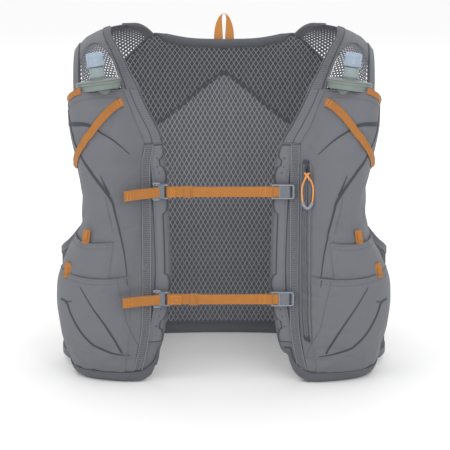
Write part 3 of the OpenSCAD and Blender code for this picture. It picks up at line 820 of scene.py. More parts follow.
def make_pull_cord():
    """Cord loop through the chest slider, with its knot and the tube round the loop's end."""
    curve_data = bpy.data.curves.new("chest_zip_cord_loop", "CURVE")
    curve_data.dimensions = "3D"
    curve_data.bevel_depth = CORD_D / 2 * MM
    curve_data.bevel_resolution = 4
    curve_data.use_fill_caps = True
    line = spline(CORD_ROUTE, CORD_STEPS)
    track = curve_data.splines.new("POLY")
    track.points.add(len(line) - 1)
    for point, place in zip(track.points, line * MM):
        point.co = (*place, 1)
    curve_data.materials.append(MATERIALS["orange_thread"])
    cord = bpy.data.objects.new("chest_zip_cord_loop", curve_data)
    bpy.context.scene.collection.objects.link(cord)
    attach(cord, "chest_pull")
    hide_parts("chest_zip_cord")

    bend = line[GRIP_FROM * CORD_STEPS - 2:GRIP_TO * CORD_STEPS + 3]
    swell = GRIP_R * (1 + 0.06 * np.cos(np.linspace(0, 2 * math.pi, len(bend))))
    grip = add_piece("chest_zip_grip_tube", round_tube(bend, swell, 12), "grip", "chest_pull",
                     "chest_zip_grip")
    turns = np.linspace(0, 2 * math.pi, 60)
    loops = np.stack([1.9 * np.sin(turns) + 1.0 * np.sin(2 * turns),
                      1.1 * np.sin(3 * turns),
                      1.9 * np.cos(turns) - 1.4 * np.cos(2 * turns)], -1)
    knot = add_piece("chest_zip_knot", round_tube(loops + KNOT_AT, CORD_D / 2, 8), "orange_thread",
                     "chest_pull")
    tails = []
    for k, end in ((-1, (-2.6, -1.6, -6.5)), (1, (2.4, -2.0, -6.2))):
        tail = spline([KNOT_AT + [k * 0.8, -0.8, -0.5], KNOT_AT + [k * 1.9, -1.8, -3.2],
                       KNOT_AT + np.array(end)], 5)
        tails.append(round_tube(tail, CORD_D / 2 * 0.9, 8))
    piece = add_piece("chest_zip_knot_tails", joined(tails)[:2], "orange_thread", "chest_pull")
    float(run_of(line)[-1]) * MM


make_pull_cord()

# ---------------------------------------------------------------- back

SPACER_SHEET = SPACER_T - 2.4
YOKE_LOW, YOKE_TOP = 117, 127
NECK_END = 84
# Section of the folded neck binding as (height over the edge, distance out of the back)
NECK_FOLD = [(-2, 0.0), (0, -0.9), (4, -1.1), (7.5, -0.6), (9.2, 1.2), (9.4, 3.2), (8.6, 5.4),
             (6.5, 6.6), (2.5, 6.6), (-1, 6.1)]


def lattice(name, reach, up, cell, yarn, material, inside):
    """Raised diamond yarns over the back's inner face. inside(x, q) trims them."""
    w, h = cell
    blocks = []
    for j in range(int(up[0] / h * 2) - 1, int(up[1] / h * 2) + 1):
        x0 = (np.arange(int(-reach / w) - 1, int(reach / w) + 2) + 0.5 * (j % 2)) * w
        for side in (-1, 1):
            ends = np.stack([x0, np.full_like(x0, j * h / 2), x0 + side * w / 2,
                             np.full_like(x0, (j + 1) * h / 2)], -1)
            ends = ends[inside((ends[:, 0] + ends[:, 2]) / 2, (ends[:, 1] + ends[:, 3]) / 2)]
            if not len(ends):
                continue
            run = np.array([side * w / 2, h / 2])
            cross = np.array([-run[1], run[0]]) / np.linalg.norm(run)
            points = []
            for t, rise in ((0.0, 0.75), (0.5, 1.0), (1.0, 0.75)):
                mid = mix(ends[:, :2], ends[:, 2:], t)
                for u, v in ((-0.5, 0.0), (0.0, 1.0), (0.5, 0.0)):
                    p = mid + cross * u * yarn
                    points.append(back_off(p[:, 0], p[:, 1], 1.0 - (0.9 * v * rise - 0.05)))
            blocks.append(np.stack(points, 1))
    verts = np.concatenate(blocks)
    faces = [[a, a + 1, a + 4, a + 3] for base in range(0, len(verts) * 9, 9)
             for a in (base, base + 1, base + 3, base + 4)]
    add_piece(name, (verts.reshape(-1, 3), faces), material, "back")


def back_top(x):
    return curve(CHEVRON, np.abs(x)) - 1.5


def back_edge_x(q):
    return curve(BACK_EDGE, q)


def make_back_panel():
    def spot(a, b, h):
        q = mix(12, back_top((2 * a - 1) * CHEVRON[-1][0]), b)
        return back_off((2 * a - 1) * back_edge_x(q), q, h + 1)

    def inside(x, q):
        return (np.abs(x) < back_edge_x(q) - 4) & (q > 15) & (q < back_top(x) - 2)

    panel = patch_piece("back_spacer", spot, (266, 330), (60, 60), SPACER_SHEET, "spacer", "back",
                        "back_panel")
    lattice("back_diamonds", 130, (12, 335), (5.8, 10.6), 0.95, "spacer_yarn", inside)


def yoke_range(x):
    low = along(curve(CHEVRON, np.abs(x)))
    top = along(curve(NECKLINE, np.abs(x)) - 5)
    return low, top


def make_yoke():
    """Mesh over the shoulders' inner side, with a V seam where it meets the back."""
    def spot(a, b, h):
        x = (2 * a - 1) * mix(YOKE_LOW, YOKE_TOP, b)
        low, top = yoke_range(x)
        return back_off(x, mix(low, top, b), h + 1)

    def inside(x, q):
        low, top = yoke_range(x)
        side = mix(YOKE_LOW, YOKE_TOP, np.clip((q - low) / np.maximum(top - low, 1), 0, 1))
        return (np.abs(x) < side - 2) & (q > low + 1) & (q < top - 2)

    panel = patch_piece("yoke_spacer", spot, (240, 110), (60, 24), SPACER_SHEET, "yoke", "back",
                        "yoke_panel")
    lattice("yoke_diamonds", 126, (235, 420), (6.0, 10.8), 0.9, "yoke_yarn", inside)
    x = np.linspace(-119, 119, 90)
    seam_q = curve(CHEVRON, np.abs(x))
    line = back_off(x, seam_q - 1.0, 1.9)
    n = unit(back_off(x, seam_q, 0.0) - back_off(x, seam_q, 1.0))
    across = unit(np.cross(np.gradient(line, axis=0), n))
    add_piece("yoke_seam", sweep(line, across, n, 6.4, 1.2)[:2], "yoke", "back")
    sew("yoke_seam_stitches", stitches(line + n * 1.2, n), "back")


def make_neck_binding():
    """Folded binding over the neck edge, seen from inside and outside and thinner at its ends."""
    x = np.linspace(-NECK_END, NECK_END, 80)
    q = along(curve(NECKLINE, np.abs(x)) - 4.5)
    ease = 1 - 0.8 * smooth((np.abs(x) - 68) / 16)
    verts = np.stack([back_off(x, q + up * ease, mix(2.5, h, ease)) for up, h in NECK_FOLD], 1)
    m = len(NECK_FOLD)
    uv = np.stack([np.repeat(np.linspace(0, 190, len(x)), m), np.tile(np.linspace(0, 24, m), len(x))], -1)
    add_piece("neck_edge_binding", (verts.reshape(-1, 3), tube_faces(len(x), m), uv), "binding", "back",
              "neck_binding")
    full = np.abs(x) < 66
    normal = unit(back_off(x, q, -1.0) - back_off(x, q, 0.0))[full]
    inner, outer = back_off(x, q + 0.2, -1.3)[full], back_off(x, q + 0.5, 6.9)[full]
    sew("neck_binding_stitches", stitches(inner, normal) + stitches(outer, -normal), "back")


def make_base_binding():
    def spot(a, b, h):
        x = (2 * a - 1) * mix(128, 130, b)
        bulge = 0.8 * np.sin(math.pi * b)
        return back_off(x, mix(0.9, 11.5, b), np.where(h > 0, SPACER_T + 0.6 + bulge, 0.2 - bulge * 0.6))

    patch_piece("base_edge_binding", spot, (260, 12), (60, 6), 1.0, "base", "back",
                "base_binding")
    x = np.linspace(-126, 126, 90)
    normal = unit(back_off(x, 10, 1.0) - back_off(x, 10, 0.0))
    rows = stitches(back_off(x, 9.8, -0.5), -normal) + stitches(back_off(x, 9.8, 7.4), normal)
    sew("base_binding_stitches", rows, "back")


def pack_fill(a, b):
    return ((PACK_D - 2) * round_up(np.minimum(a, 1 - a) * 4) * round_up(b * 6)
            * round_up((1 - b) * 2.2))


def pack_x(a, b):
    return (2 * a - 1) * mix(PACK_W, 96, b * b)


def pack_q(b):
    return along(mix(PACK_Z[0], PACK_Z[1], b))


def pack_off(a, b, h):
    """Points over the main compartment's outer face, which sags and creases a little."""
    a, b = arrays(a, b)
    edge = smooth(np.minimum(a, 1 - a) * 6) * smooth(np.minimum(b, 1 - b) * 6)
    crease = (0.9 * np.sin(a * 11 + b * 5) * np.sin(b * 13 - a * 3)
              + 0.5 * np.sin(a * 23 - b * 17 + 1.3)) * edge
    sag = 0.64 * np.sin(math.pi * b) * np.sin(math.pi * a)
    return back_off(pack_x(a, b), pack_q(b), SPACER_T + GAP + 2 + pack_fill(a, b) + crease + sag + h)


def make_main_compartment():
    def spot(a, b, h):
        return pack_off(a, b, h - 1.6)

    shell = patch_piece("main_compartment_shell", spot, (236, 330), (72, 84), 1.6, "pod", "back",
                        "main_compartment")
    t = mix(0.01, 0.99, arc(80))
    rim = [round_tube(pack_off(a, b, -1.2), 1.9, 8) for a, b in ((0.012, t), (0.988, t), (t, 0.988))]
    add_piece("main_compartment_piping", joined(rim), "binding", "back")
    rows = []
    for a in (0.045, 0.955):
        rows += stitches(pack_off(a, mix(0.62, 0.97, arc(120)), 0.1), (0, 1, 0))
    sew("main_compartment_stitches", rows, "back")


def stash_off(a, b, h):
    """Points over the stash pocket, whose mouth stands looser than its base."""
    a, b = arrays(a, b)
    c, e = 0.04 + 0.58 * b, mix(0.02, 0.98, a)
    swell = (STASH_D - 1.6) * round_up(np.minimum(a, 1 - a) * 5) * round_up((0.25 + b) * 4)
    fold = 0.8 * np.sin(a * 19 + 2 * b) * smooth(np.minimum(a, 1 - a) * 5) * (0.4 + b)
    return back_off(pack_x(e, c), pack_q(c), SPACER_T + 3.3 + pack_fill(e, c) + swell + fold + h)


def make_stash_pocket():
    shell = patch_piece("stash_pocket_shell", stash_off, (232, 196), (72, 48), 1.4, "lining", "back",
                        "stash_pocket")
    a = arc(120)
    hem = stash_off(a, 0.995, 0.7)
    n = unit(stash_off(a, 0.98, 1.0) - stash_off(a, 0.98, 0.0))
    across = unit(np.cross(np.gradient(hem, axis=0), n))
    add_piece("stash_pocket_hem", sweep(hem - n * 1.3 - [0, 0, 4.5], across, n, 9.0, 2.6), "binding",
              "back")
    rows = []
    for drop in (1.6, 7.4):
        rows += stitches(hem + n * 1.45 - [0, 0, drop], n)
    for a in (0.03, 0.97):
        rows += stitches(stash_off(a, arc(60) * 0.95, 1.5), (0, 1, 0))
    sew("stash_pocket_stitches", rows, "back")


def zip_piece(name, line, normal, across, width, body, node):
    """Zip tape with its coil: two rows of slanted teeth over a woven tape."""
    add_piece(name, sweep(line, across, normal, width, 0.9), "zip", body, node)
    run = run_of(line)
    teeth = []
    for k, u in enumerate(np.arange(1.0, run[-1] - 1.0, 1.5)):
        p, n, c = (at_run(u, run, v) for v in (line, normal, across))
        side = 1 if k % 2 else -1
        ends = np.stack([p + n * 0.9 + c * side * 1.35, p + n * 1.35 + c * side * 0.5,
                         p + n * 1.3 - c * side * 0.5])
        teeth.append(round_tube(ends, [0.42, 0.5, 0.42], 5))
    add_piece(name + "_coil", joined(teeth)[:2], "coil", body)


def make_main_zip():
    a = mix(0.16, 0.84, arc(110))
    n, across = frame_of(pack_off(a, ZIP_B, 0.0), pack_off(a, ZIP_B, -1.0))
    out = SPACER_T + GAP + 2.4 + pack_fill(a, ZIP_B)
    line = back_off(pack_x(a, ZIP_B), pack_q(ZIP_B), out) + n * 0.3
    zip_piece("main_zip_ribbon", line, n, across, 9.0, "back", "main_zip_tape")
    ends = []
    for middle in (0.145, 0.855):
        a = mix(middle - 0.02, middle + 0.02, arc(6))
        p = pack_off(a, ZIP_B, 0.4)
        ends.append(sweep(p, across[0], unit(pack_off(a, ZIP_B, 1.0) - p), 12.0, 1.2))
    add_piece("main_zip_garages", joined(ends)[:2], "shoulder", "back")


def make_main_puller():
    """Webbing pull on the main slider, narrow where it goes through the slider's eye."""
    low, high = box_mm("main_zip_pull")
    x, y, _ = (low + high) / 2
    t = arc(30)
    line = np.stack([np.full(30, x), y - np.exp(-t * 9), high[2] + 0.6 - t * (high[2] - low[2])], -1)
    width = np.interp(t, [0, 0.12, 0.2, 1], [2.2, 3.0, 5.0, 5.0])
    thick = np.interp(t, [0, 0.2, 0.9, 1], [1.2, 1.6, 1.6, 2.4])
    add_piece("main_zip_puller", sweep(line, (1, 0, 0), (0, 1, 0), width, thick), "webbing", "main_pull",
              "main_zip_pull")


def make_sleeve():
    """Flat sleeve inside the back, where a reservoir would go."""
    def spot(a, b, h):
        ease = 0.3 * np.sin(a * 9) * np.sin(b * 7)
        return back_off((2 * a - 1) * 80, mix(32, 250, b), SPACER_T + 1.2 + ease + h)

    sleeve = patch_piece("reservoir_sleeve_fabric", spot, (160, 218), (30, 36), 1.4, "patch", "back",
                         "reservoir_sleeve")


def make_haul_loop():
    """One tape folded to a point: two legs stand side by side and meet at the top."""
    low, high = box_mm("haul_loop")
    t = arc(40)
    outer = 12.3 * (1 - t ** 2.6) ** 0.62
    inner = np.minimum((0.9 + 2.3 * t) * np.sqrt(np.clip(1 - t ** 8, 0, 1)), outer - 0.3)
    y = (low[1] + high[1]) / 2 + 1.4 * np.sin(t * 2.2) - 0.8
    z = low[2] - 2 + (high[2] - low[2] + 1.6) * t
    normal = unit(np.stack([0 * t, -np.ones(40), 0.18 * np.sin(t * 3)], -1))
    thick = np.interp(t, [0, 0.85, 1], [1.7, 1.7, 2.6])
    legs = [sweep(np.stack([k * (outer + inner) / 2, y, z], -1), (k, 0, 0), normal,
                  np.maximum(outer - inner, 0.6), thick) for k in (-1, 1)]
    add_piece("haul_loop_tape", joined(legs), "haul", "back", "haul_loop")


def make_shoulder_mesh(side, s):
    """Single open knit between the yoke and the shoulder crest, framed by bindings."""
    def spot(a, b, h):
        x = mix(mix(86, 128, a), mix(112, 168, a), b)
        return back_off(x, mix(along(mix(387, 345, a)) - 7, CREST_Q - 0.5, b), 1.0 + h)

    def off_the_neck(a, b):
        return (a > 0.1) | (b > 0.14)

    open_mesh(f"{side}_shoulder_window", spot, (60, 76), 4.2, 0.30, 0.9, "open_knit", "back",
              f"{side}_shoulder_mesh", s, off_the_neck)
    parts = []
    for a, width, turn in ((0.0, 12.0, -1), (1.0, 9.0, 1)):
        line = spot(a, arc(50), 0.0)
        n, across = frame_of(line, spot(a, arc(50), -1.0))
        parts.append(sweep(line + across * (width / 2 - 2) * turn - n * 1.4, across, n, width, 2.8))
    add_piece(f"{side}_shoulder_binding", joined(parts), "binding", "back", s=s)


SIDES = (("left", 1), ("right", -1))

make_back_panel()
make_yoke()
make_neck_binding()
make_base_binding()
make_main_compartment()
make_stash_pocket()
make_main_zip()
make_main_puller()
make_sleeve()
make_haul_loop()
for name, sign in SIDES:
    make_shoulder_mesh(name, sign)

# ---------------------------------------------------------------- settled cloth

MOUTH_Q, PANEL_Q, POD_LOW = float(along(330.0)), float(along(338.0)), 4.0
POD_CELLS = (44, 66)
EDGE_EASE = 1.7
PATCH_LIFT = FABRIC_T + 1.5


def pod_a(u):
    """Share of the pocket's width at share u of its grid, which is finer toward the armhole."""
    return 1 - (1 - u) ** EDGE_EASE


def pod_u(a):
    return 1 - (1 - np.clip(a, 0, 1)) ** (1 / EDGE_EASE)


def settled(name, rest, pressure, grow, cap):
    """How far cloth moves off a grid of points held at its rim when it is filled, in millimetres."""
    nj, ni = rest.shape[0] - 1, rest.shape[1] - 1
    mesh = bpy.data.meshes.new(name)
    mesh.from_pydata((rest.reshape(-1, 3) * MM).tolist(), [], grid_faces(ni, nj))
    sheet = bpy.data.objects.new(name, mesh)
    scene = bpy.context.scene
    scene.collection.objects.link(sheet)
    held = sheet.vertex_groups.new(name="held")
    held.add(rim_of(ni, nj), 1.0, "REPLACE")
    cloth = sheet.modifiers.new("cloth", "CLOTH")
    cloth.settings.quality = 6
    cloth.settings.mass = 0.2
    cloth.settings.tension_stiffness = 20
    cloth.settings.compression_stiffness = 12
    cloth.settings.shear_stiffness = 6
    cloth.settings.bending_stiffness = 0.25
    cloth.settings.vertex_group_mass = "held"
    cloth.settings.shrink_min = -grow
    cloth.settings.use_pressure = True
    cloth.settings.uniform_pressure_force = pressure
    cloth.settings.effector_weights.gravity = 0
    cloth.collision_settings.use_collision = False
    cloth.point_cache.frame_start, cloth.point_cache.frame_end = 1, 20
    for number in range(1, 21):
        scene.frame_set(number)
    done = sheet.evaluated_get(bpy.context.evaluated_depsgraph_get()).data
    moved = np.zeros(len(done.vertices) * 3)
    done.vertices.foreach_get("co", moved)
    scene.frame_set(1)
    bpy.data.objects.remove(sheet)
    bpy.data.meshes.remove(mesh)
    move = moved.reshape(rest.shape) / MM - rest
    size = np.linalg.norm(move, axis=-1, keepdims=True)
    return move * cap * np.tanh(size / cap) / np.maximum(size, 1e-6)


def looked_up(grid, u, v):
    """Values of a grid at shares u across and v up."""
    nj, ni = grid.shape[0] - 1, grid.shape[1] - 1
    x, y = np.clip(u, 0, 1) * ni, np.clip(v, 0, 1) * nj
    i, j = np.minimum(x.astype(int), ni - 1), np.minimum(y.astype(int), nj - 1)
    fx, fy = (x - i)[..., None], (y - j)[..., None]
    return mix(mix(grid[j, i], grid[j, i + 1], fx), mix(grid[j + 1, i], grid[j + 1, i + 1], fx), fy)


def pod_base(a, q, h, s):
    a, q, h = arrays(a, q, h)
    x = mix(x_seam(q, s) + GAP, pod_out(q), a)
    return front_off(x, q, pod_h(x, q, s) + h)


def mouth_q(a):
    """The flask pocket's mouth, which falls toward the armhole."""
    return MOUTH_Q + 3 + 4 * (1 - a) ** 3 - MOUTH_FALL * a ** 4


def pod_drape(s):
    u, b = share_grid(*POD_CELLS)
    rest = pod_base(pod_a(u), mix(POD_LOW, MOUTH_Q, b), FABRIC_T, s)
    return settled("pod_cloth", rest, 4.0, 0.012, 3.0)


DRAPES = {s: pod_drape(s) for _, s in SIDES}


def pod_off(a, q, h, s):
    """Points a height h over the flask pocket's settled fabric."""
    a, q, h = arrays(a, q, h)
    return pod_base(a, q, h, s) + looked_up(DRAPES[s], pod_u(a), (q - POD_LOW) / (MOUTH_Q - POD_LOW))


def share_of(x, q, s):
    """The share of the pocket's width at distance x from the middle."""
    low, high = x_seam(q, s) + GAP, pod_out(q)
    return np.clip((x - low) / (high - low), 0, 0.992)


def share_seen(x, q, s):
    """The share of the pocket's width whose outer face lies x from the middle."""
    shares = np.linspace(0, 0.985, 120)
    out = []
    for at_x, at_q in zip(np.ravel(x), np.ravel(q)):
        seen = pod_base(shares, at_q, FABRIC_T, s)[:, 0]
        out.append(np.interp(at_x, np.maximum.accumulate(seen), shares))
    return np.array(out)


# Outer pockets as (inner share, outer share, low q, mouth q)
SIDE_POCKET = (0.34, 0.97, HEM_TOP - 6, SIDE_TOP)
HEM_POCKET = (0.12, 0.975, 13.5, HEM_TOP)


def mouth_of(pocket, a):
    """The mouth dips a little in its middle and rises at its sewn ends."""
    low, high = pocket[:2]
    t = np.clip((a - low) / (high - low), 0, 1)
    return pocket[3] - 3.0 * np.sin(math.pi * t) + 2.5 * t * t


def pocket_rise(pocket, a, q):
    """Height of an outer pocket over the flask pocket: sewn down at its edges, loose at its mouth."""
    low, high, base, _ = pocket
    mouth = mouth_of(pocket, a)
    sides = smooth((a - low) / 0.07) * smooth((high - a) / 0.04)
    slack = 1.6 * smooth((q - mouth + 34) / 34) * np.sin(math.pi * np.clip((a - low) / (high - low), 0, 1))
    return (PATCH_LIFT - FABRIC_T + slack) * sides * smooth((q - base) / 9)


def skin_h(a, q):
    """Height of whatever fabric is outermost on the front at that place."""
    h = np.full(np.shape(a), FABRIC_T)
    for pocket in (SIDE_POCKET, HEM_POCKET):
        inside = (a > pocket[0]) & (a < pocket[1]) & (q > pocket[2]) & (q < mouth_of(pocket, a))
        h = np.where(inside, FABRIC_T + PATCH_T + pocket_rise(pocket, a, q), h)
    return h


# ---------------------------------------------------------------- fronts


def make_front_panel(side, s):
    """Lining against the chest, with the padded band along its inner edge."""
    def spot(a, b, h):
        q = PANEL_Q * b
        x = mix(x_in(q, s), x_out(q), np.where(a < 0.6, a * 0.5, mix(0.3, 1, (a - 0.6) / 0.4)))
        puff = 1.2 * np.sin(math.pi * np.clip((x - x_in(q, s)) / 22, 0, 1))
        roll = round_up((x - x_in(q, s)) / 3.0 + 0.3)
        return front_off(x, q, np.where(h > 0, band_h(x, q, s) * roll + puff * 0.4, 0.0))

    panel = patch_piece(f"{side}_front_lining", spot, (110, 350), (36, 84), 1.0, "band", f"{side}_front",
                        f"{side}_front_panel", s=s)
    panel.data.materials.append(MATERIALS["lining"])
    for face in panel.data.polygons:
        if face.index >= 36 * 84:
            face.material_index = 1


def make_edge_trim(side, s):
    """Folded inner border of each front, up to the shoulder strap."""
    q = np.linspace(6, PANEL_Q, 110)
    line = front_off(x_in(q, s) + 1.6, q, 1.8)
    add_piece(f"{side}_inner_edge_roll", round_tube(line, 2.1, 10), "binding", f"{side}_front",
              s=s)


def border_at(s, a, z, h):
    """Points over the knit border between the rail's top and the shoulder strap."""
    a, z, h = arrays(a, z, h)
    q = along(z)
    x = x_in(q, s) + 0.6 + mix(0, 9.4, a)
    return front_off(x, q, band_h(x, q, s) + 1.1 + h)


def make_border(side, s):
    """Knit border, and the smooth fabric between it and the flask pocket."""
    top = float(height_of(PANEL_Q)) + 0.4

    def knit_spot(a, b, h):
        return border_at(s, a, mix(282.5, top, b), h)

    def plain_spot(a, b, h):
        q = along(mix(284.0, top, b))
        x = mix(x_in(q, s) + 10.4, x_seam(q, s) + 1.5, a)
        return front_off(x, q, band_h(x, q, s) + 1.1 + h)

    patch_piece(f"{side}_lapel_border", knit_spot, (9, 56), (8, 30), 0.9, "band", f"{side}_front",
                s=s)
    patch_piece(f"{side}_lapel_fabric", plain_spot, (10, 56), (8, 30), 1.2, "pod", f"{side}_front",
                s=s)
    rows = zigzag_yarns(partial(border_at, s), np.arange(284, top - 1, 2.4), (0.1, 0.9), 1.2, 0.6)
    add_piece(f"{side}_lapel_yarns", joined(rows), "tape_yarn", f"{side}_front", s=s)
    seams = [round_tube(border_at(s, a, np.linspace(282.5, top, 40), 0.7), 0.65, 6) for a in (0.02, 1.02)]
    add_piece(f"{side}_lapel_seams", joined(seams), "accent", f"{side}_front", s=s)


def make_pod(side, s):
    def spot(u, b, h):
        share = pod_a(u)
        return pod_off(share, mix(9.0, mouth_q(share), b), h, s)

    pod = patch_piece(f"{side}_flask_pocket_shell", spot, (104, 346), (88, 132), FABRIC_T, "pod",
                      f"{side}_front", f"{side}_flask_pocket", s=s)
    a = pod_a(arc(90))
    mouth = pod_off(a, mouth_q(a), FABRIC_T * 0.5, s)
    add_piece(f"{side}_flask_pocket_hem", round_tube(mouth, 1.5, 10), "pod", f"{side}_front",
              s=s)
    a = a * 0.98
    q = mouth_q(a) - 7
    sewn = stitches_over(pod_off(a, q, FABRIC_T, s), pod_off(a, q, 0.0, s))
    sew(f"{side}_flask_pocket_stitches", sewn, f"{side}_front", s=s)


def make_outer_pocket(side, s, kind, pocket, cells, material):
    def spot(a, b, h):
        share = mix(pocket[0], pocket[1], a)
        q = mix(pocket[2], mouth_of(pocket, share), b)
        return pod_off(share, q, FABRIC_T + 0.05 + pocket_rise(pocket, share, q) + h, s)

    size = ((pocket[1] - pocket[0]) * 104, pocket[3] - pocket[2])
    patch = patch_piece(f"{side}_{kind}_pocket_panel", spot, size, cells, PATCH_T, material,
                        f"{side}_front", f"{side}_{kind}_pocket", s=s)
    t = arc(80)
    share = mix(pocket[0] + 0.01, pocket[1] - 0.005, t)
    q = mouth_of(pocket, share)
    lift = FABRIC_T + pocket_rise(pocket, share, q)
    edge = pod_off(share, q, lift + PATCH_T * 0.6, s)
    add_piece(f"{side}_{kind}_pocket_hem", round_tube(edge, 1.15, 8), material, f"{side}_front",
              s=s)
    line = pod_off(share, q - 5.5, lift + PATCH_T, s)
    sewn = stitches_over(line, pod_off(share, q - 5.5, lift, s), 2.0, 3.0, 0.26)
    sew(f"{side}_{kind}_pocket_stitches", sewn, f"{side}_front", s=s)


def hem_off(t, q, h, s):
    """Points over the rolled hem, from the inner edge at t = 0 to the armhole edge at t = 1."""
    t, q, h = arrays(t, q, h)
    x = mix(x_in(q, s) + 1, pod_out(q), 1 - (1 - t) ** 1.4)
    over = smooth((x - x_seam(q, s) + 3) / 8)
    deep = mix(band_h(x, q, s), pod_h(np.maximum(x, x_seam(q, s)), np.maximum(q, 4), s) + FABRIC_T, over)
    bulge = mix(0.25, 1, round_up((q + 1.0) / 8.0))
    return front_off(x, q, (deep + 2.6) * bulge + h)


def make_hem_roll(side, s):
    """Rolled band under the pods, from the armhole side round to the inner corner."""
    def spot(a, b, h):
        q = mix(0.3, 14.5, b)
        tuck = -2.6 * smooth((q - 11.5) / 3)
        return hem_off(a, q, h - 1.6 + tuck, s)

    patch_piece(f"{side}_hem_roll", spot, (112, 16), (80, 14), 1.6, "binding", f"{side}_front",
                s=s)
    line = hem_off(np.linspace(0.02, 0.99, 110), 13.0, -0.9, s)
    add_piece(f"{side}_hem_seam", round_tube(line, 0.8, 6), "accent", f"{side}_front", s=s)
    t = np.linspace(0.02, 0.97, 110)
    sewn = stitches_over(hem_off(t, 9.5, 0.05, s), hem_off(t, 9.5, -2, s), 2.2, 3.4, 0.3)
    sew(f"{side}_hem_stitches", sewn, f"{side}_front", s=s)


def make_side_wing(side, s):
    """Stretch mesh round the wearer's side, from each front to the back."""
    top = [(0, 196), (0.1, 163), (0.2, 148), (0.35, 136), (0.7, 128), (1, 160)]
    back_turn = math.pi - turn_of(129)

    def start(z):
        x = np.minimum(x_out(z) - 4, 0.985 * TORSO_W)
        return np.arcsin((x / TORSO_W) ** (TORSO_N / 2))

    def spot(a, b, h):
        z = mix(14, curve(top, a), b)
        return ring_off(mix(start(z), back_turn, a), z, 1.4 + h)

    def joined_on(piece):
        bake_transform(piece)

    mesh = open_mesh(f"{side}_wing_mesh", spot, (128, 132), 3.4, 0.26, 0.8, "wing", None,
                     node=f"{side}_side_wing", s=s)
    joined_on(mesh)
    t = arc(70)
    for name, a, b, width, thick in (("top_binding", t, 0.99, 9.0, 2.6), ("hem_binding", t, 0.01, 9.0, 2.6),
                                     ("front_seam", 0.012, t, 8.0, 2.4), ("back_seam", 0.988, t, 8.0, 2.4)):
        line = spot(a, b, 0.0)
        n, across = frame_of(line, spot(a, b, -1.0))
        band = sweep(line - n * thick / 2, across, n, width, thick)
        joined_on(add_piece(f"{side}_wing_{name}", band, "binding", s=s))


STRAP_LOW, STRAP_TOP = PANEL_Q - 1, CREST_Q + 1.5
BORDER = 0.17


def strap_in(q, s):
    """Inner edge of the shoulder strap, which swings out toward the crest."""
    return x_in(q, s) + 19 * smooth((q - 345) / 95)


def strap_at(s, a, b, h):
    """Points over the shoulder strap, from its inner to its outer edge and from low to high."""
    a, b, h = arrays(a, b, h)
    q = mix(STRAP_LOW, STRAP_TOP, b)
    x = mix(strap_in(q, s), x_out(q), a)
    step = (band_h(x, q, s) - LINING_T) * (1 - smooth((q - STRAP_LOW) / 30))
    return front_off(x, q, h + step)


def make_shoulder_strap(side, s):
    """Knit inner border, smooth yoke, see-through window and folded outer band."""
    def blended(piece):
        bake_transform(piece)
        return piece

    def area(name, a0, a1, b0, b1, cells, thick, material, lift=0.0):
        def spot(a, b, h):
            low, high = (f(b) if callable(f) else f for f in (a0, a1))
            base, top = (f(a) if callable(f) else f for f in (b0, b1))
            return strap_at(s, mix(low, high, a), mix(base, top, b), lift + h)
        return patch_piece(f"{side}_strap_{name}", spot, (30, 120), cells, thick, material, s=s)

    def window_top(a):
        return 0.66 - 1.1 * (a - 0.55) ** 2

    border = area("knit_border", 0.0, BORDER, 0.0, 1.0, (8, 60), 2.8, "band")
    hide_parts(f"{side}_shoulder_strap")
    blended(border)
    blended(area("inner_band", BORDER - 0.01, BORDER + 0.06, 0.0, window_top, (4, 40), 2.4, "shoulder", 0.1))
    rows = zigzag_yarns(partial(strap_at, s), np.arange(0.01, 0.99, 0.021), (0.02, 0.16), 0.009, 2.6)
    blended(add_piece(f"{side}_strap_border_yarns", joined(rows), "tape_yarn", s=s))
    blended(area("yoke", BORDER - 0.01, 0.86, window_top, 1.0, (24, 24), 2.2, "shoulder", 0.2))

    def pane(a, b, h):
        share = mix(BORDER + 0.05, 0.86, a)
        return strap_at(s, share, mix(0.0, window_top(share) + 0.02, b), 1.3 + h)

    mesh = open_mesh(f"{side}_strap_window", pane, (54, 76), 4.2, 0.30, 0.9, "open_knit", s=s)
    blended(mesh)
    b = np.linspace(0, 1, 80)
    roll = round_tube(strap_at(s, 0.02, b, 1.4), 1.7, 8)
    blended(add_piece(f"{side}_strap_edge_roll", roll, "band", s=s))
    outer = strap_at(s, 0.925, b, 0.0)
    n, across = frame_of(outer, strap_at(s, 0.925, b, -1.0))
    blended(add_piece(f"{side}_strap_outer_band", sweep(outer - n * 0.8, across, n, 9.5, 4.2), "shoulder",
                      s=s))
    for name, share, radius in (("outer_seam", 0.855, 0.7), ("inner_seam", BORDER, 0.6),
                                ("edge_seam", 0.012, 0.6)):
        line = strap_at(s, share, b, 2.9)
        blended(add_piece(f"{side}_strap_{name}", round_tube(line, radius, 6), "accent", s=s))
    share = np.linspace(BORDER, 0.86, 40)
    rim = strap_at(s, share, window_top(share), 2.3)
    blended(add_piece(f"{side}_strap_window_rim", round_tube(rim, 0.9, 8), "shoulder", s=s))
    sewn = []
    for a in (0.89, 0.965):
        line = strap_at(s, a, b, 3.3)
        sewn += stitches_over(line, strap_at(s, a, b, 2.0), 2.0, 3.2, 0.25)
    blended(add_piece(f"{side}_strap_stitches", joined(sewn)[:2], "thread", s=s))


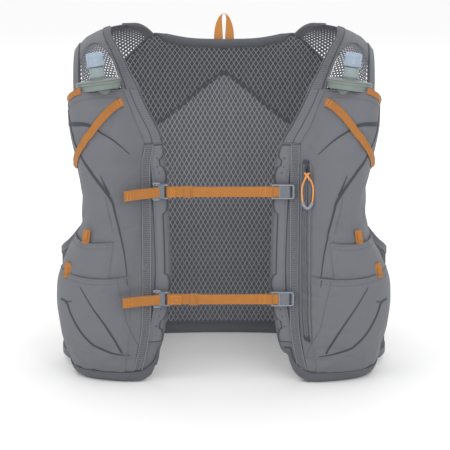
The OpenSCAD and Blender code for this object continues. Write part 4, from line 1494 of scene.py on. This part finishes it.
def make_flask_strap(side, s):
    a = arc(70)
    x, q = mix(float(x_seam(along(325), s)) + 4, 152, a), mix(325, 252, a ** 1.35)
    share = share_of(x, q, s)
    line = pod_off(share, q, PATCH_LIFT + 0.8, s)
    n, across = frame_of(line, pod_off(share, q, PATCH_LIFT - 1, s))
    width = mix(10.5, 6.5, a)
    band = sweep(line, across, n, width, PATCH_T)
    add_piece(f"{side}_flask_elastic", band, "elastic", f"{side}_front",
              f"{side}_flask_strap", s=s)
    sewn = []
    for k in (2, 5):
        ends = np.linspace(-0.4, 0.4, 8)[:, None] * width[k] * across[k] + line[k] + n[k] * PATCH_T
        sewn += stitches(ends, n[k], 1.5, 1.7, 0.3)
    sew(f"{side}_flask_elastic_stitches", sewn, f"{side}_front", "orange_thread", s)


def make_corner_tab(side, s):
    """Short end of the elastic, folded over the outer corner of the flask pocket's mouth."""
    a = np.linspace(0.56, 0.86, 24)
    q = mouth_q(a) + 0.5
    line = pod_off(a, q, FABRIC_T + 0.9, s)
    n, across = frame_of(line, pod_off(a, q, FABRIC_T - 1, s))
    add_piece(f"{side}_elastic_corner", sweep(line, across, n, mix(7.5, 6, arc(24)), 1.2), "elastic",
              f"{side}_front", s=s)


def make_pull_tabs(side, s):
    """Folded loops of tape that stand behind the two pocket mouths."""
    parts, sewn = [], []
    for share, base, length, lift in ((0.62, SIDE_TOP + 3, 11, PATCH_LIFT + 0.6),
                                      (0.74, HEM_TOP, 13, PATCH_LIFT + PATCH_T + 1.2)):
        for k, h in ((0, -0.5), (1, 1.0)):
            t = arc(16)
            q = base - 4 + (length + 5) * t
            x = float(mix(x_seam(base, s), pod_out(base), share)) + 3
            x = x + (1.1 if k else -0.6) - 0.12 * (q - base)
            bow = h + (1.5 - 2.2 * k) * np.sin(math.pi * t) * 0.6 * (1 if k else -1)
            line = front_off(x, q, pod_h(x, q, s) + lift + bow * np.sqrt(np.clip(1 - t ** 6, 0, 1)))
            n = unit(line - front_off(x, q, pod_h(x, q, s) + lift + bow - 5))
            across = unit(np.cross(np.gradient(line, axis=0), n) + 0.15 * n)
            parts.append(sweep(line, across, n, 5.6, 1.0))
            if k:
                ends = line[3] + n[3] * 1.1 + np.linspace(-2.4, 2.4, 8)[:, None] * across[3]
                sewn += stitches(ends, n[3], 1.4, 1.6, 0.3)
    add_piece(f"{side}_tab_loops", joined(parts), "webbing", f"{side}_front",
              f"{side}_pull_tabs", s=s)
    sew(f"{side}_tab_stitches", sewn, f"{side}_front", s=s)


def make_edge_tape(side, s):
    """Knit tape beside the rail, with zigzag rows of raised yarn."""
    def at(a, z, h):
        a, z, h = arrays(a, z, h)
        x = x_seam(z, s) - mix(8.5, GAP, a)
        q = q_at(x, z)
        return front_off(x, q, band_h(x, q, s) + 1 + h)

    def spot(a, b, h):
        return at(a, mix(15, 282, b), h)

    patch_piece(f"{side}_knit_tape", spot, (8.5, 270), (6, 100), 0.8, "tape", f"{side}_front",
                f"{side}_edge_tape", s=s)
    rows = zigzag_yarns(at, np.arange(17, 281, 2.5), (0.06, 0.94), 1.5, 0.5)
    for share in (0.0, 1.0):
        rows.append(round_tube(at(share, np.linspace(15, 282, 100), 0.6), 0.75, 6))
    add_piece(f"{side}_knit_tape_yarns", joined(rows), "tape_yarn", f"{side}_front", s=s)


RAIL_BUMPS = (53, 86, 118, 213, 245, 276)


def rail_bump(z):
    near = np.min([np.abs(z - c) for c in RAIL_BUMPS], axis=0)
    return 5 * round_up(1 - near / 12)


def rail_at(a, z, h, s):
    a, z, h = arrays(a, z, h)
    edge = x_in(q_at(x_in(z, s), z), s)
    x = mix(edge + 6.5 - rail_bump(z), np.minimum(edge + 15, x_seam(z, s) - 9.5), a)
    q = q_at(x, z)
    return front_off(x, q, band_h(x, q, s) + 1 + h)


def make_rail(side, s):
    """Moulded strip with scallops, a stiffening bead and small holes, with painted shade: a dark sheet round
    its edge and dark plugs in its holes.
    """
    def spot(a, b, h):
        z = mix(50, 280, b)
        dome = 0.5 * np.sin(math.pi * a) if np.any(h) else 0.0
        return rail_at(a, z, h + dome, s)

    # painted shade: a dark sheet under the rail, a little wider than it, for the shadow line round it
    def shade_spot(a, b, h):
        return rail_at(mix(-0.14, 1.12, a), mix(48.6, 281.4, b), h - 0.75, s)

    patch_piece(f"{side}_rail_strip", spot, (10, 230), (6, 230), 1.2, "rail", f"{side}_front",
                f"{side}_rail", s=s)
    patch_piece(f"{side}_rail_painted_shade", shade_spot, (12, 233), (6, 230), 0.7, "painted_shade", f"{side}_front",
                s=s)
    z = np.linspace(52, 278, 120)
    add_piece(f"{side}_rail_bead", round_tube(rail_at(0.82, z, 1.25, s), 0.7, 8), "rail", f"{side}_front",
              s=s)
    # painted shade: near-black plugs in the rail's holes
    holes = []
    for height, share in ((266, 0.45), (256, 0.45), (249, 0.45), (88, 0.5), (80, 0.5), (68, 0.35)):
        p, q = rail_at(share, height, 1.5, s), rail_at(share, height, 2.5, s)
        holes.append(round_tube(np.stack([p - (q - p) * 0.5, p + (q - p) * 0.12]), 1.15, 12))
    add_piece(f"{side}_rail_hole_shade", joined(holes), "hole", f"{side}_front", s=s)


def tapered(points, widths, s, lift=0.1, thick=0.5):
    """A raised line over the front along (x, height) points, its width changing along it."""
    line = spline(points, 14)
    x, q = line[:, 0], q_at(line[:, 0], line[:, 1])
    share = share_seen(x, q, s)
    h = skin_h(share, q) + lift
    track = pod_off(share, q, h, s)
    normal, across = frame_of(track, pod_off(share, q, h - 1, s))
    width = np.interp(np.linspace(0, 1, len(line)), np.linspace(0, 1, len(widths)), widths)
    return sweep(track - normal * 0.3, across, normal, width, thick + 0.3)


ACCENTS = (
    ([(184, 302), (168, 306), (152, 306), (138, 300), (122, 289), (107, 274)], (5, 5, 4, 2.4, 1.8, 0.6)),
    ([(177, 323), (173, 306), (168, 286), (161, 271), (153, 258), (131, 226), (125, 207),
      (115, 160), (110, 120)], (0.8, 1.6, 2.0, 2.4, 3.0, 3.6, 2.4, 1.5, 0.6)),
    ([(140, 252), (136, 241), (131, 229)], (0.5, 1.6, 2.6)),
    ([(187, 106), (180, 100), (174, 83), (162, 61), (147, 46), (131, 39), (109, 34)],
     (2.6, 2.6, 2.4, 2.4, 2.4, 2.2, 0.6)),
    ([(182, 101), (174, 101)], (2.4, 0.6)),
    ([(163, 118), (151, 96), (136, 73), (125, 54), (117, 38)], (0.5, 1.3, 1.9, 2.4, 2.2)),
)
SEAMS = (
    [(136, 227), (132, 205), (128, 184)],
    [(122, 130), (115, 94), (110, 70), (99, 43), (95, 28)],
)


def make_accents(side, s):
    lines = [tapered(points, widths, s) for points, widths in ACCENTS]
    add_piece(f"{side}_accent_lines", joined(lines), "accent", f"{side}_front", s=s)
    lines = [tapered(points, (0.4, 0.9, 0.9, 0.4), s, 0.05, 0.25) for points in SEAMS]
    add_piece(f"{side}_fine_seams", joined(lines), "thread", f"{side}_front", s=s)


for name, sign in SIDES:
    make_front_panel(name, sign)
    make_edge_trim(name, sign)
    make_border(name, sign)
    make_pod(name, sign)
    make_outer_pocket(name, sign, "side", SIDE_POCKET, (48, 30), "patch")
    make_outer_pocket(name, sign, "hem", HEM_POCKET, (64, 64), "patch")
    make_hem_roll(name, sign)
    make_side_wing(name, sign)
    make_shoulder_strap(name, sign)
    make_flask_strap(name, sign)
    make_corner_tab(name, sign)
    make_pull_tabs(name, sign)
    make_edge_tape(name, sign)
    make_rail(name, sign)
    make_accents(name, sign)

# ---------------------------------------------------------------- soft flasks

COLLAR_AT = np.array([142.0, -101.5, 349.0])
FLASK_TIP, FLASK_LEAN = math.radians(-7), math.radians(8)


def flask_place(verts):
    """Turned shapes are made at the collar, then leaned and moved."""
    ct, st = math.cos(FLASK_TIP), math.sin(FLASK_TIP)
    cl, sl = math.cos(FLASK_LEAN), math.sin(FLASK_LEAN)
    tip = np.array([[1, 0, 0], [0, ct, -st], [0, st, ct]])
    lean = np.array([[cl, 0, sl], [0, 1, 0], [-sl, 0, cl]])
    return np.asarray(verts) @ (lean @ tip).T + COLLAR_AT


def flask_piece(name, shape, material, body, s, node=None):
    add_piece(name, (flask_place(shape[0]), shape[1]), material, body, node, s)


def rounded(profile, radius=0.8):
    """A turned outline with each corner cut by a small round."""
    points = [np.array(p, float) for p in profile]
    out = [points[0]]
    for before, here, after in zip(points, points[1:], points[2:]):
        a, b = before - here, after - here
        r = min(radius, np.linalg.norm(a) / 2.2, np.linalg.norm(b) / 2.2)
        a, b = here + a / max(np.linalg.norm(a), 1e-6) * r, here + b / max(np.linalg.norm(b), 1e-6) * r
        for t in (0, 0.33, 0.67, 1):
            out.append(mix(mix(a, here, t), mix(here, b, t), t))
    out.append(points[-1])
    return [tuple(p) for p in out]


def make_flask(side, s):
    body = spline([(0.2, -138), (9, -134), (15.5, -121), (18.8, -102), (20.4, -78), (20.4, -52),
                   (19.8, -34), (17, -24), (14.8, -17), (13.6, -11)], 6)
    verts, faces = lathe([tuple(p) for p in body], 56)
    verts[:, 1] *= np.where(verts[:, 2] < -16, 0.54, mix(0.54, 1.0, np.clip((verts[:, 2] + 16) / 5, 0, 1)))
    crease = (0.5 * np.sin(verts[:, 2] * 0.17 + verts[:, 0] * 0.11)
              + 0.35 * np.sin(verts[:, 2] * 0.31 - verts[:, 0] * 0.23)) * smooth((-verts[:, 2] - 20) / 20)
    verts[:, 1] += crease * np.sign(verts[:, 1])
    flask_piece(f"{side}_flask_film", (verts, faces), "film", f"{side}_flask_body", s,
                f"{side}_flask")
    neck = lathe(rounded([(0, -12), (14.4, -12), (14.4, -8), (15.2, -7), (14.4, -6), (14.4, -3),
                          (15.2, -2), (14.4, -1), (14.4, 2.2), (12, 2.4), (0, 2.4)], 0.5), 56)
    flask_piece(f"{side}_flask_neck", neck, "collar", f"{side}_flask_body", s)
    collar = lathe(rounded([(16, -6), (24.0, -6), (24.4, -4.5), (24.4, -0.8), (24.9, 0.2), (25.8, 0.8),
                            (25.9, 4.2), (25.2, 5.2), (20, 5.8), (10.4, 6.6), (9.4, 6.2),
                            (9.2, 3.6), (16, 3.4)], 0.7), 96, ribs=40, rib_depth=0.2,
                   rib_range=(-4.6, -0.7))
    flask_piece(f"{side}_collar_ring", collar, "collar", f"{side}_lid", s, f"{side}_flask_collar")
    line = lathe(rounded([(25.0, 2.9), (26.15, 3.0), (26.15, 3.7), (25.0, 3.8)], 0.2), 96)
    flask_piece(f"{side}_collar_line", line, "olive", f"{side}_lid", s)
    valve = lathe(rounded([(0, 3.2), (8.4, 3.2), (8.6, 7.5), (9.4, 8.6), (9.4, 10.6), (8.5, 11.6),
                           (8.3, 19.6), (6.6, 20.4), (5.9, 22), (5.6, 28), (4.6, 29.6), (0, 29.8)], 0.9), 56)
    flask_piece(f"{side}_bite_valve_body", valve, "valve", f"{side}_valve", s, f"{side}_bite_valve")
    cover = lathe(rounded([(6.6, 20.7), (9.6, 20.7), (10.4, 21.6), (10.4, 23.2), (9.7, 24.2), (9.5, 31.5),
                           (10.0, 33), (9.4, 35.6), (7.8, 36.8), (0, 37.0), (0, 31.4), (6.6, 31.0)], 0.8),
                  64, ribs=14, rib_depth=0.22, rib_range=(24.4, 31.4))
    flask_piece(f"{side}_cover_cap", cover, "cover", f"{side}_cover", s, f"{side}_valve_cover")


# ---------------------------------------------------------------- chest zip


def chest_zip_at(q, dx, h):
    x = x_seam(q, 1) + 6 + dx
    share = share_of(x, q, 1)
    return pod_off(share, q, FABRIC_T + h, 1)


def make_chest_zip():
    q = np.linspace(55, 262, 110)
    line = chest_zip_at(q, 0, 0.5)
    across = unit(chest_zip_at(q, 2, 0.5) - chest_zip_at(q, -2, 0.5))
    n = unit(np.cross(across, np.gradient(line, axis=0)))
    zip_piece("chest_zip_ribbon", line, n, across, 5.6, "left_front", "chest_zip_tape")
    folds = [round_tube(chest_zip_at(q, dx, 0.9), 1.25, 8) for dx in (-3.9, 3.9)]
    add_piece("chest_zip_placket", joined(folds)[:2], "pod", "left_front")
    ends = []
    for q0 in (53.5, 263.5):
        p = chest_zip_at(np.array([q0 - 2.4, q0, q0 + 2.4]), 0, 1.2)
        k = np.repeat(unit(chest_zip_at(np.array([q0]), 2, 1) - chest_zip_at(np.array([q0]), -2, 1)), 3, 0)
        ends.append(sweep(p, k, unit(np.cross(k, np.gradient(p, axis=0))), 8.2, 1.5))
    add_piece("chest_zip_garages", joined(ends)[:2], "accent", "left_front")
    sewn = []
    for dx in (-6.2, 6.2):
        edge = chest_zip_at(q, dx, 0.1)
        sewn += stitches_over(edge, chest_zip_at(q, dx, -1), 2.0, 3.2, 0.26)
    sew("chest_zip_stitches", sewn, "left_front")


# ---------------------------------------------------------------- sternum straps

STRAP_Y = -117.8
LOCK_X, HOOK_X = -70.0, 67.0
LOCK_BAR, HOOK_BAR = LOCK_X + 7, HOOK_X - 13
WEB_W, WEB_T, FOLD_R = 12.0, 1.4, 1.5
KEEPER_REACH = 13.6
WEB_Y = STRAP_Y - FOLD_R - WEB_T


def flat_tape(name, points, z, material, body, node=None, width=WEB_W, thick=WEB_T):
    """Upright tape whose middle runs along (x, y) points at height z, front face outward."""
    line = np.array([(x, y, z) for x, y in points], float)
    t = unit(np.gradient(line, axis=0))
    normal = unit(np.cross((0.0, 0.0, 1.0), t))
    part = sweep(line - normal * thick / 2, (0, 0, 1), normal, width, thick)
    add_piece(name, part, material, body, node)
    return line, normal


def half_turn(x, y, radius, start, n=12):
    angles = np.linspace(start, start + math.pi, n)
    return [(x + radius * math.cos(a), y + radius * math.sin(a)) for a in angles]


def box_stitches(x0, x1, y, z, body, name, cross=True, half=4.2):
    """A sewn box with a cross, on the front face of a tape."""
    corners = [(x0, z - half), (x1, z - half), (x1, z + half), (x0, z + half), (x0, z - half)]
    paths = [resample([(x, y, h) for x, h in corners], 1.0)]
    if cross:
        paths.append(resample([(x0, y, z - half), (x1, y, z + half)], 1.0))
        paths.append(resample([(x0, y, z + half), (x1, y, z - half)], 1.0))
    parts = []
    for path in paths:
        parts += stitches(path, (0, -1, 0), 1.5, 2.0, 0.24)
    sew(name, parts, body, "orange_thread")


def make_strap(side, z, keeper_x, tail_turn):
    """Webbing sewn round the lock's bar and the hook's bar, with its tail and keeper."""
    mid = STRAP_Y - FOLD_R - WEB_T / 2
    run = []
    for x in np.linspace(LOCK_BAR + 0.01, HOOK_BAR - 0.01, 80):
        share = (x - LOCK_BAR) / (HOOK_BAR - LOCK_BAR)
        run.append((x, mid + 0.35 * math.sin(10.5 * share) * math.sin(math.pi * share)))
    radius = FOLD_R + WEB_T / 2
    left = half_turn(LOCK_BAR, STRAP_Y, radius, math.pi / 2)
    right = half_turn(HOOK_BAR, STRAP_Y, radius, -math.pi / 2)
    tuck = [(LOCK_BAR + 21, mid + WEB_T + 0.15), (LOCK_BAR + 14, mid + WEB_T + 0.1),
            (LOCK_BAR + 8, mid + WEB_T + 0.5), (LOCK_BAR + 3.5, STRAP_Y + radius * 0.7)]
    tuck_end = [(HOOK_BAR - 3.5, STRAP_Y + radius * 0.7), (HOOK_BAR - 8, mid + WEB_T + 0.5),
                (HOOK_BAR - 14, mid + WEB_T + 0.1), (HOOK_BAR - 17, mid + WEB_T + 0.15)]
    points = spline([(x, y) for x, y in tuck + left[1:] + run[4:-4] + right[:-1] + tuck_end], 2)
    flat_tape(f"{side}_strap_webbing", points, z, "webbing", f"{side}_strap", f"{side}_webbing")
    face = mid - WEB_T / 2 - 0.05
    loop_end = keeper_x - KEEPER_REACH
    loop = [(LOCK_BAR - 1.6, face + 0.5), (LOCK_BAR - 0.4, face - 0.45), (LOCK_BAR + 3, face - 0.65),
            (loop_end - 3, face - 0.6), (loop_end, face - 0.5)]
    flat_tape(f"{side}_sewn_loop", spline(loop, 4), z, "webbing", f"{side}_strap", None, WEB_W + 0.5, 1.1)
    box_stitches(LOCK_BAR + 2.5, loop_end - 1.2, face - 1.25, z, f"{side}_strap", f"{side}_sewn_box")
    box_stitches(HOOK_BAR - 13, HOOK_BAR - 7, face, z, f"{side}_strap", f"{side}_sewn_end",
                 cross=False)
    make_keeper(side, z, keeper_x)
    make_tail(side, z, math.radians(tail_turn))


def make_keeper(side, z, x):
    """Elastic band round the webbing, with its overlap sewn on the front."""
    y = WEB_Y + WEB_T / 2
    angle = 2 * math.pi * np.arange(48) / 48
    c, sn = np.cos(angle), np.sin(angle)
    line = np.stack([np.full(48, x), y + np.copysign(np.abs(c) ** 0.5, c) * (WEB_T / 2 + 0.9),
                     z + np.copysign(np.abs(sn) ** 0.28, sn) * (WEB_W / 2 + 0.9)], -1)
    t = unit(np.roll(line, -1, 0) - np.roll(line, 1, 0))
    ring = sweep(line, (1, 0, 0), unit(np.cross((1.0, 0, 0), t)), 9.6, 0.9, closed=True)
    add_piece(f"{side}_keeper_band_loop", ring, "elastic", f"{side}_keeper_band",
                  f"{side}_keeper")
    edge = resample([(x + 3.2, y - WEB_T / 2 - 1.75, z - 5.4), (x + 3.2, y - WEB_T / 2 - 1.75, z + 5.4)], 1)
    sew(f"{side}_keeper_stitches", stitches(edge, (0, -1, 0), 1.5, 1.9, 0.24), f"{side}_keeper_band")


def make_tail(side, z, turn):
    """Free end of the webbing: double and sewn at its end, with a slight wave."""
    start = np.array([LOCK_X - 3, STRAP_Y - 1.5 - 0.4 - WEB_T / 2])
    along_x = np.array([-math.cos(turn), -math.sin(turn)])
    out = np.array([math.sin(turn), -math.cos(turn)])
    t = arc(46)
    droop = 0.9 * np.sin(t * 7.5) * np.sin(math.pi * t) + 1.0 * t * t
    points = [start + along_x * 46 * u + out * d for u, d in zip(t, droop)]
    points = [start - along_x * 4 + [0, 1.6], start - along_x * 1.5 + [0, 0.5]] + points
    line, normal = flat_tape(f"{side}_tail_webbing", points, z, "webbing", f"{side}_lock",
                             f"{side}_strap_tail")
    fold = line[-13:] - normal[-13:] * (WEB_T + 0.25)
    doubled = sweep(fold, (0, 0, 1), normal[-13:], WEB_W - 0.4, WEB_T)
    add_piece(f"{side}_tail_fold", doubled, "webbing", f"{side}_lock")
    sewn = []
    for k in (-12, -8, -4):
        ends = line[k] + normal[k] * (WEB_T / 2 + 0.05) + np.linspace(-5, 5, 12)[:, None] * [0.0, 0, 1]
        sewn += stitches(ends, normal[k], 1.4, 1.8, 0.25)
    sew(f"{side}_tail_stitches", sewn, f"{side}_lock", "orange_thread")


def dress_cad(node, material, width):
    """Shows a hard CAD node itself, with rounded edges and a moulded finish."""
    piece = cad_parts[node]
    piece.data.materials.clear()
    piece.data.materials.append(MATERIALS[material])
    modifier = piece.modifiers.new("edges", "BEVEL")
    modifier.width = width * MM
    modifier.segments = 3
    modifier.limit_method = "ANGLE"
    modifier.harden_normals = False


def make_lock_details(side, z):
    """Wings, thumb ribs and a raised rim on each tension lock, coloured lighter than the lock as painted
    highlight.
    """
    parts = []
    y = STRAP_Y - 1.5
    for k in (-1, 1):
        wing = np.array([(LOCK_X - 9.4, y + 1.4, z + k * 7.4), (LOCK_X - 10.6, y + 1.2, z + k * 8.8),
                         (LOCK_X - 9.0, y + 1.2, z + k * 9.6), (LOCK_X - 3, y + 1.3, z + k * 9.0)])
        parts.append(round_tube(spline(wing, 5), 1.05, 8))
        rim = np.array([(LOCK_X - 8.4, y + 0.1, z + k * 7.7), (LOCK_X + 6.6, y + 0.1, z + k * 7.7)])
        parts.append(round_tube(resample(rim, 2), 0.75, 8))
    for x in (LOCK_X - 0.9, LOCK_X + 0.4):
        rib = np.array([(x, y + 0.1, z - 6.4), (x, y - 0.35, z), (x, y + 0.1, z + 6.4)])
        parts.append(round_tube(spline(rib, 6), 0.5, 8))
    add_piece(f"{side}_lock_details", joined(parts)[:2], "buckle_rim_highlight", f"{side}_lock")
    face = np.array([(x, y + 0.2 - 0.5 * math.sin(math.pi * (k / 7)), z)
                     for k, x in enumerate(np.linspace(LOCK_X - 5.2, LOCK_X + 2.2, 8))])
    plate = sweep(face, (0, 0, 1), (0, -1, 0), 16.2, 1.9)
    add_piece(f"{side}_lock_plate", plate[:2], "buckle", f"{side}_lock")


def make_hook_details(side, z):
    """Rolled lip, finger rib and rim on each hook, coloured lighter than the hook as painted highlight, with
    painted shade in its window and slot.
    """
    parts = []
    y = STRAP_Y - 1.5
    for k in (-1, 1):
        rim = np.array([(HOOK_BAR + 0.5, y, z + k * 7.7), (HOOK_X + 10.6, y, z + k * 7.7)])
        parts.append(round_tube(resample(rim, 2), 0.75, 8))
        corner = np.array([(HOOK_X + 10.4, y, z + k * 7.7), (HOOK_X + 12.4, y, z + k * 6.2),
                           (HOOK_X + 12.5, y, z)])
        parts.append(round_tube(spline(corner, 5), 0.8, 8))
    seen = np.array([(x, y - 0.25, z) for x in np.linspace(HOOK_BAR + 2.2, HOOK_BAR + 8.6, 6)])
    fold = sweep(seen, (0, 0, 1), (0, -1, 0), 12.0, 0.8)
    add_piece(f"{side}_webbing_fold", fold, "webbing", f"{side}_clip")
    for x in (HOOK_BAR + 1.4, HOOK_BAR + 9.4):
        bar = np.array([(x, y + 0.1, z - 7.6), (x, y - 0.2, z), (x, y + 0.1, z + 7.6)])
        parts.append(round_tube(spline(bar, 6), 0.75, 8))
    shaded = []
    for x, wide in ((HOOK_BAR + 5.4, 8.6), (HOOK_X + 8.6, 1.6)):
        mid = np.array([(x - wide / 2, y - 0.1, z), (x, y - 0.1, z), (x + wide / 2, y - 0.1, z)])
        shaded.append(sweep(mid, (0, 0, 1), (0, -1, 0), 13.6, 0.2))
    add_piece(f"{side}_hook_shadow", joined(shaded)[:2], "painted_shade", f"{side}_clip")
    add_piece(f"{side}_hook_details", joined(parts)[:2], "buckle_rim_highlight", f"{side}_clip")


def make_zip_mouth_shade():
    """Painted shade: a short dark strip where the chest zip stands open above its slider, for the shade
    inside the opening.
    """
    q = np.linspace(254, 263, 8)
    line = chest_zip_at(q, 0, 1.35)
    across = unit(chest_zip_at(q, 2, 0.5) - chest_zip_at(q, -2, 0.5))
    n = unit(np.cross(across, np.gradient(line, axis=0)))
    mouth = sweep(line, across, n, 4.4 * np.sin(np.linspace(0.35, 2.9, 8)) + 0.6, 0.35)
    add_piece("chest_zip_mouth_shade", mouth, "hole", "left_front")


def make_slider_details():
    """Domed top and side walls on the chest slider; the back's slider and the reservoir hanger only get
    rounded edges and a moulded finish.
    """
    dress_cad("chest_zip_slider", "slider", 0.4)
    dress_cad("main_zip_slider", "slider", 0.4)
    dress_cad("reservoir_hanger", "buckle", 0.4)
    turn = math.radians(-35)
    out = np.array([math.sin(turn), -math.cos(turn), 0.0])
    across = np.array([math.cos(turn), math.sin(turn), 0.0])
    dome = np.array([SLIDER_AT + out * 1.6 + [0, 0, 4.2], SLIDER_AT + out * 2.7 + [0, 0, 3.4],
                     SLIDER_AT + out * 2.9 + [0, 0, 2.2]])
    parts = [round_tube(spline(dome, 5), 0.7, 8)]
    for k in (-1, 1):
        wall = np.array([SLIDER_AT + across * k * 2.9 + out * 0.3 + [0, 0, 4.2],
                         SLIDER_AT + across * k * 3.1 + out * 0.3,
                         SLIDER_AT + across * k * 2.2 + out * 0.3 - [0, 0, 4.6]])
        parts.append(round_tube(spline(wall, 6), 0.7, 8))
    add_piece("chest_slider_details", joined(parts)[:2], "slider", "chest_slider")


for name, sign in SIDES:
    make_flask(name, sign)
make_chest_zip()
make_zip_mouth_shade()
make_slider_details()
for name, height, keeper_x, turn in (("upper", 229.0, -41.0, 31), ("lower", 103.0, -35.0, 22)):
    dress_cad(f"{name}_tension_lock", "buckle", 0.6)
    dress_cad(f"{name}_hook", "buckle", 0.6)
    make_strap(name, height, keeper_x, turn)
    make_lock_details(name, height)
    make_hook_details(name, height)
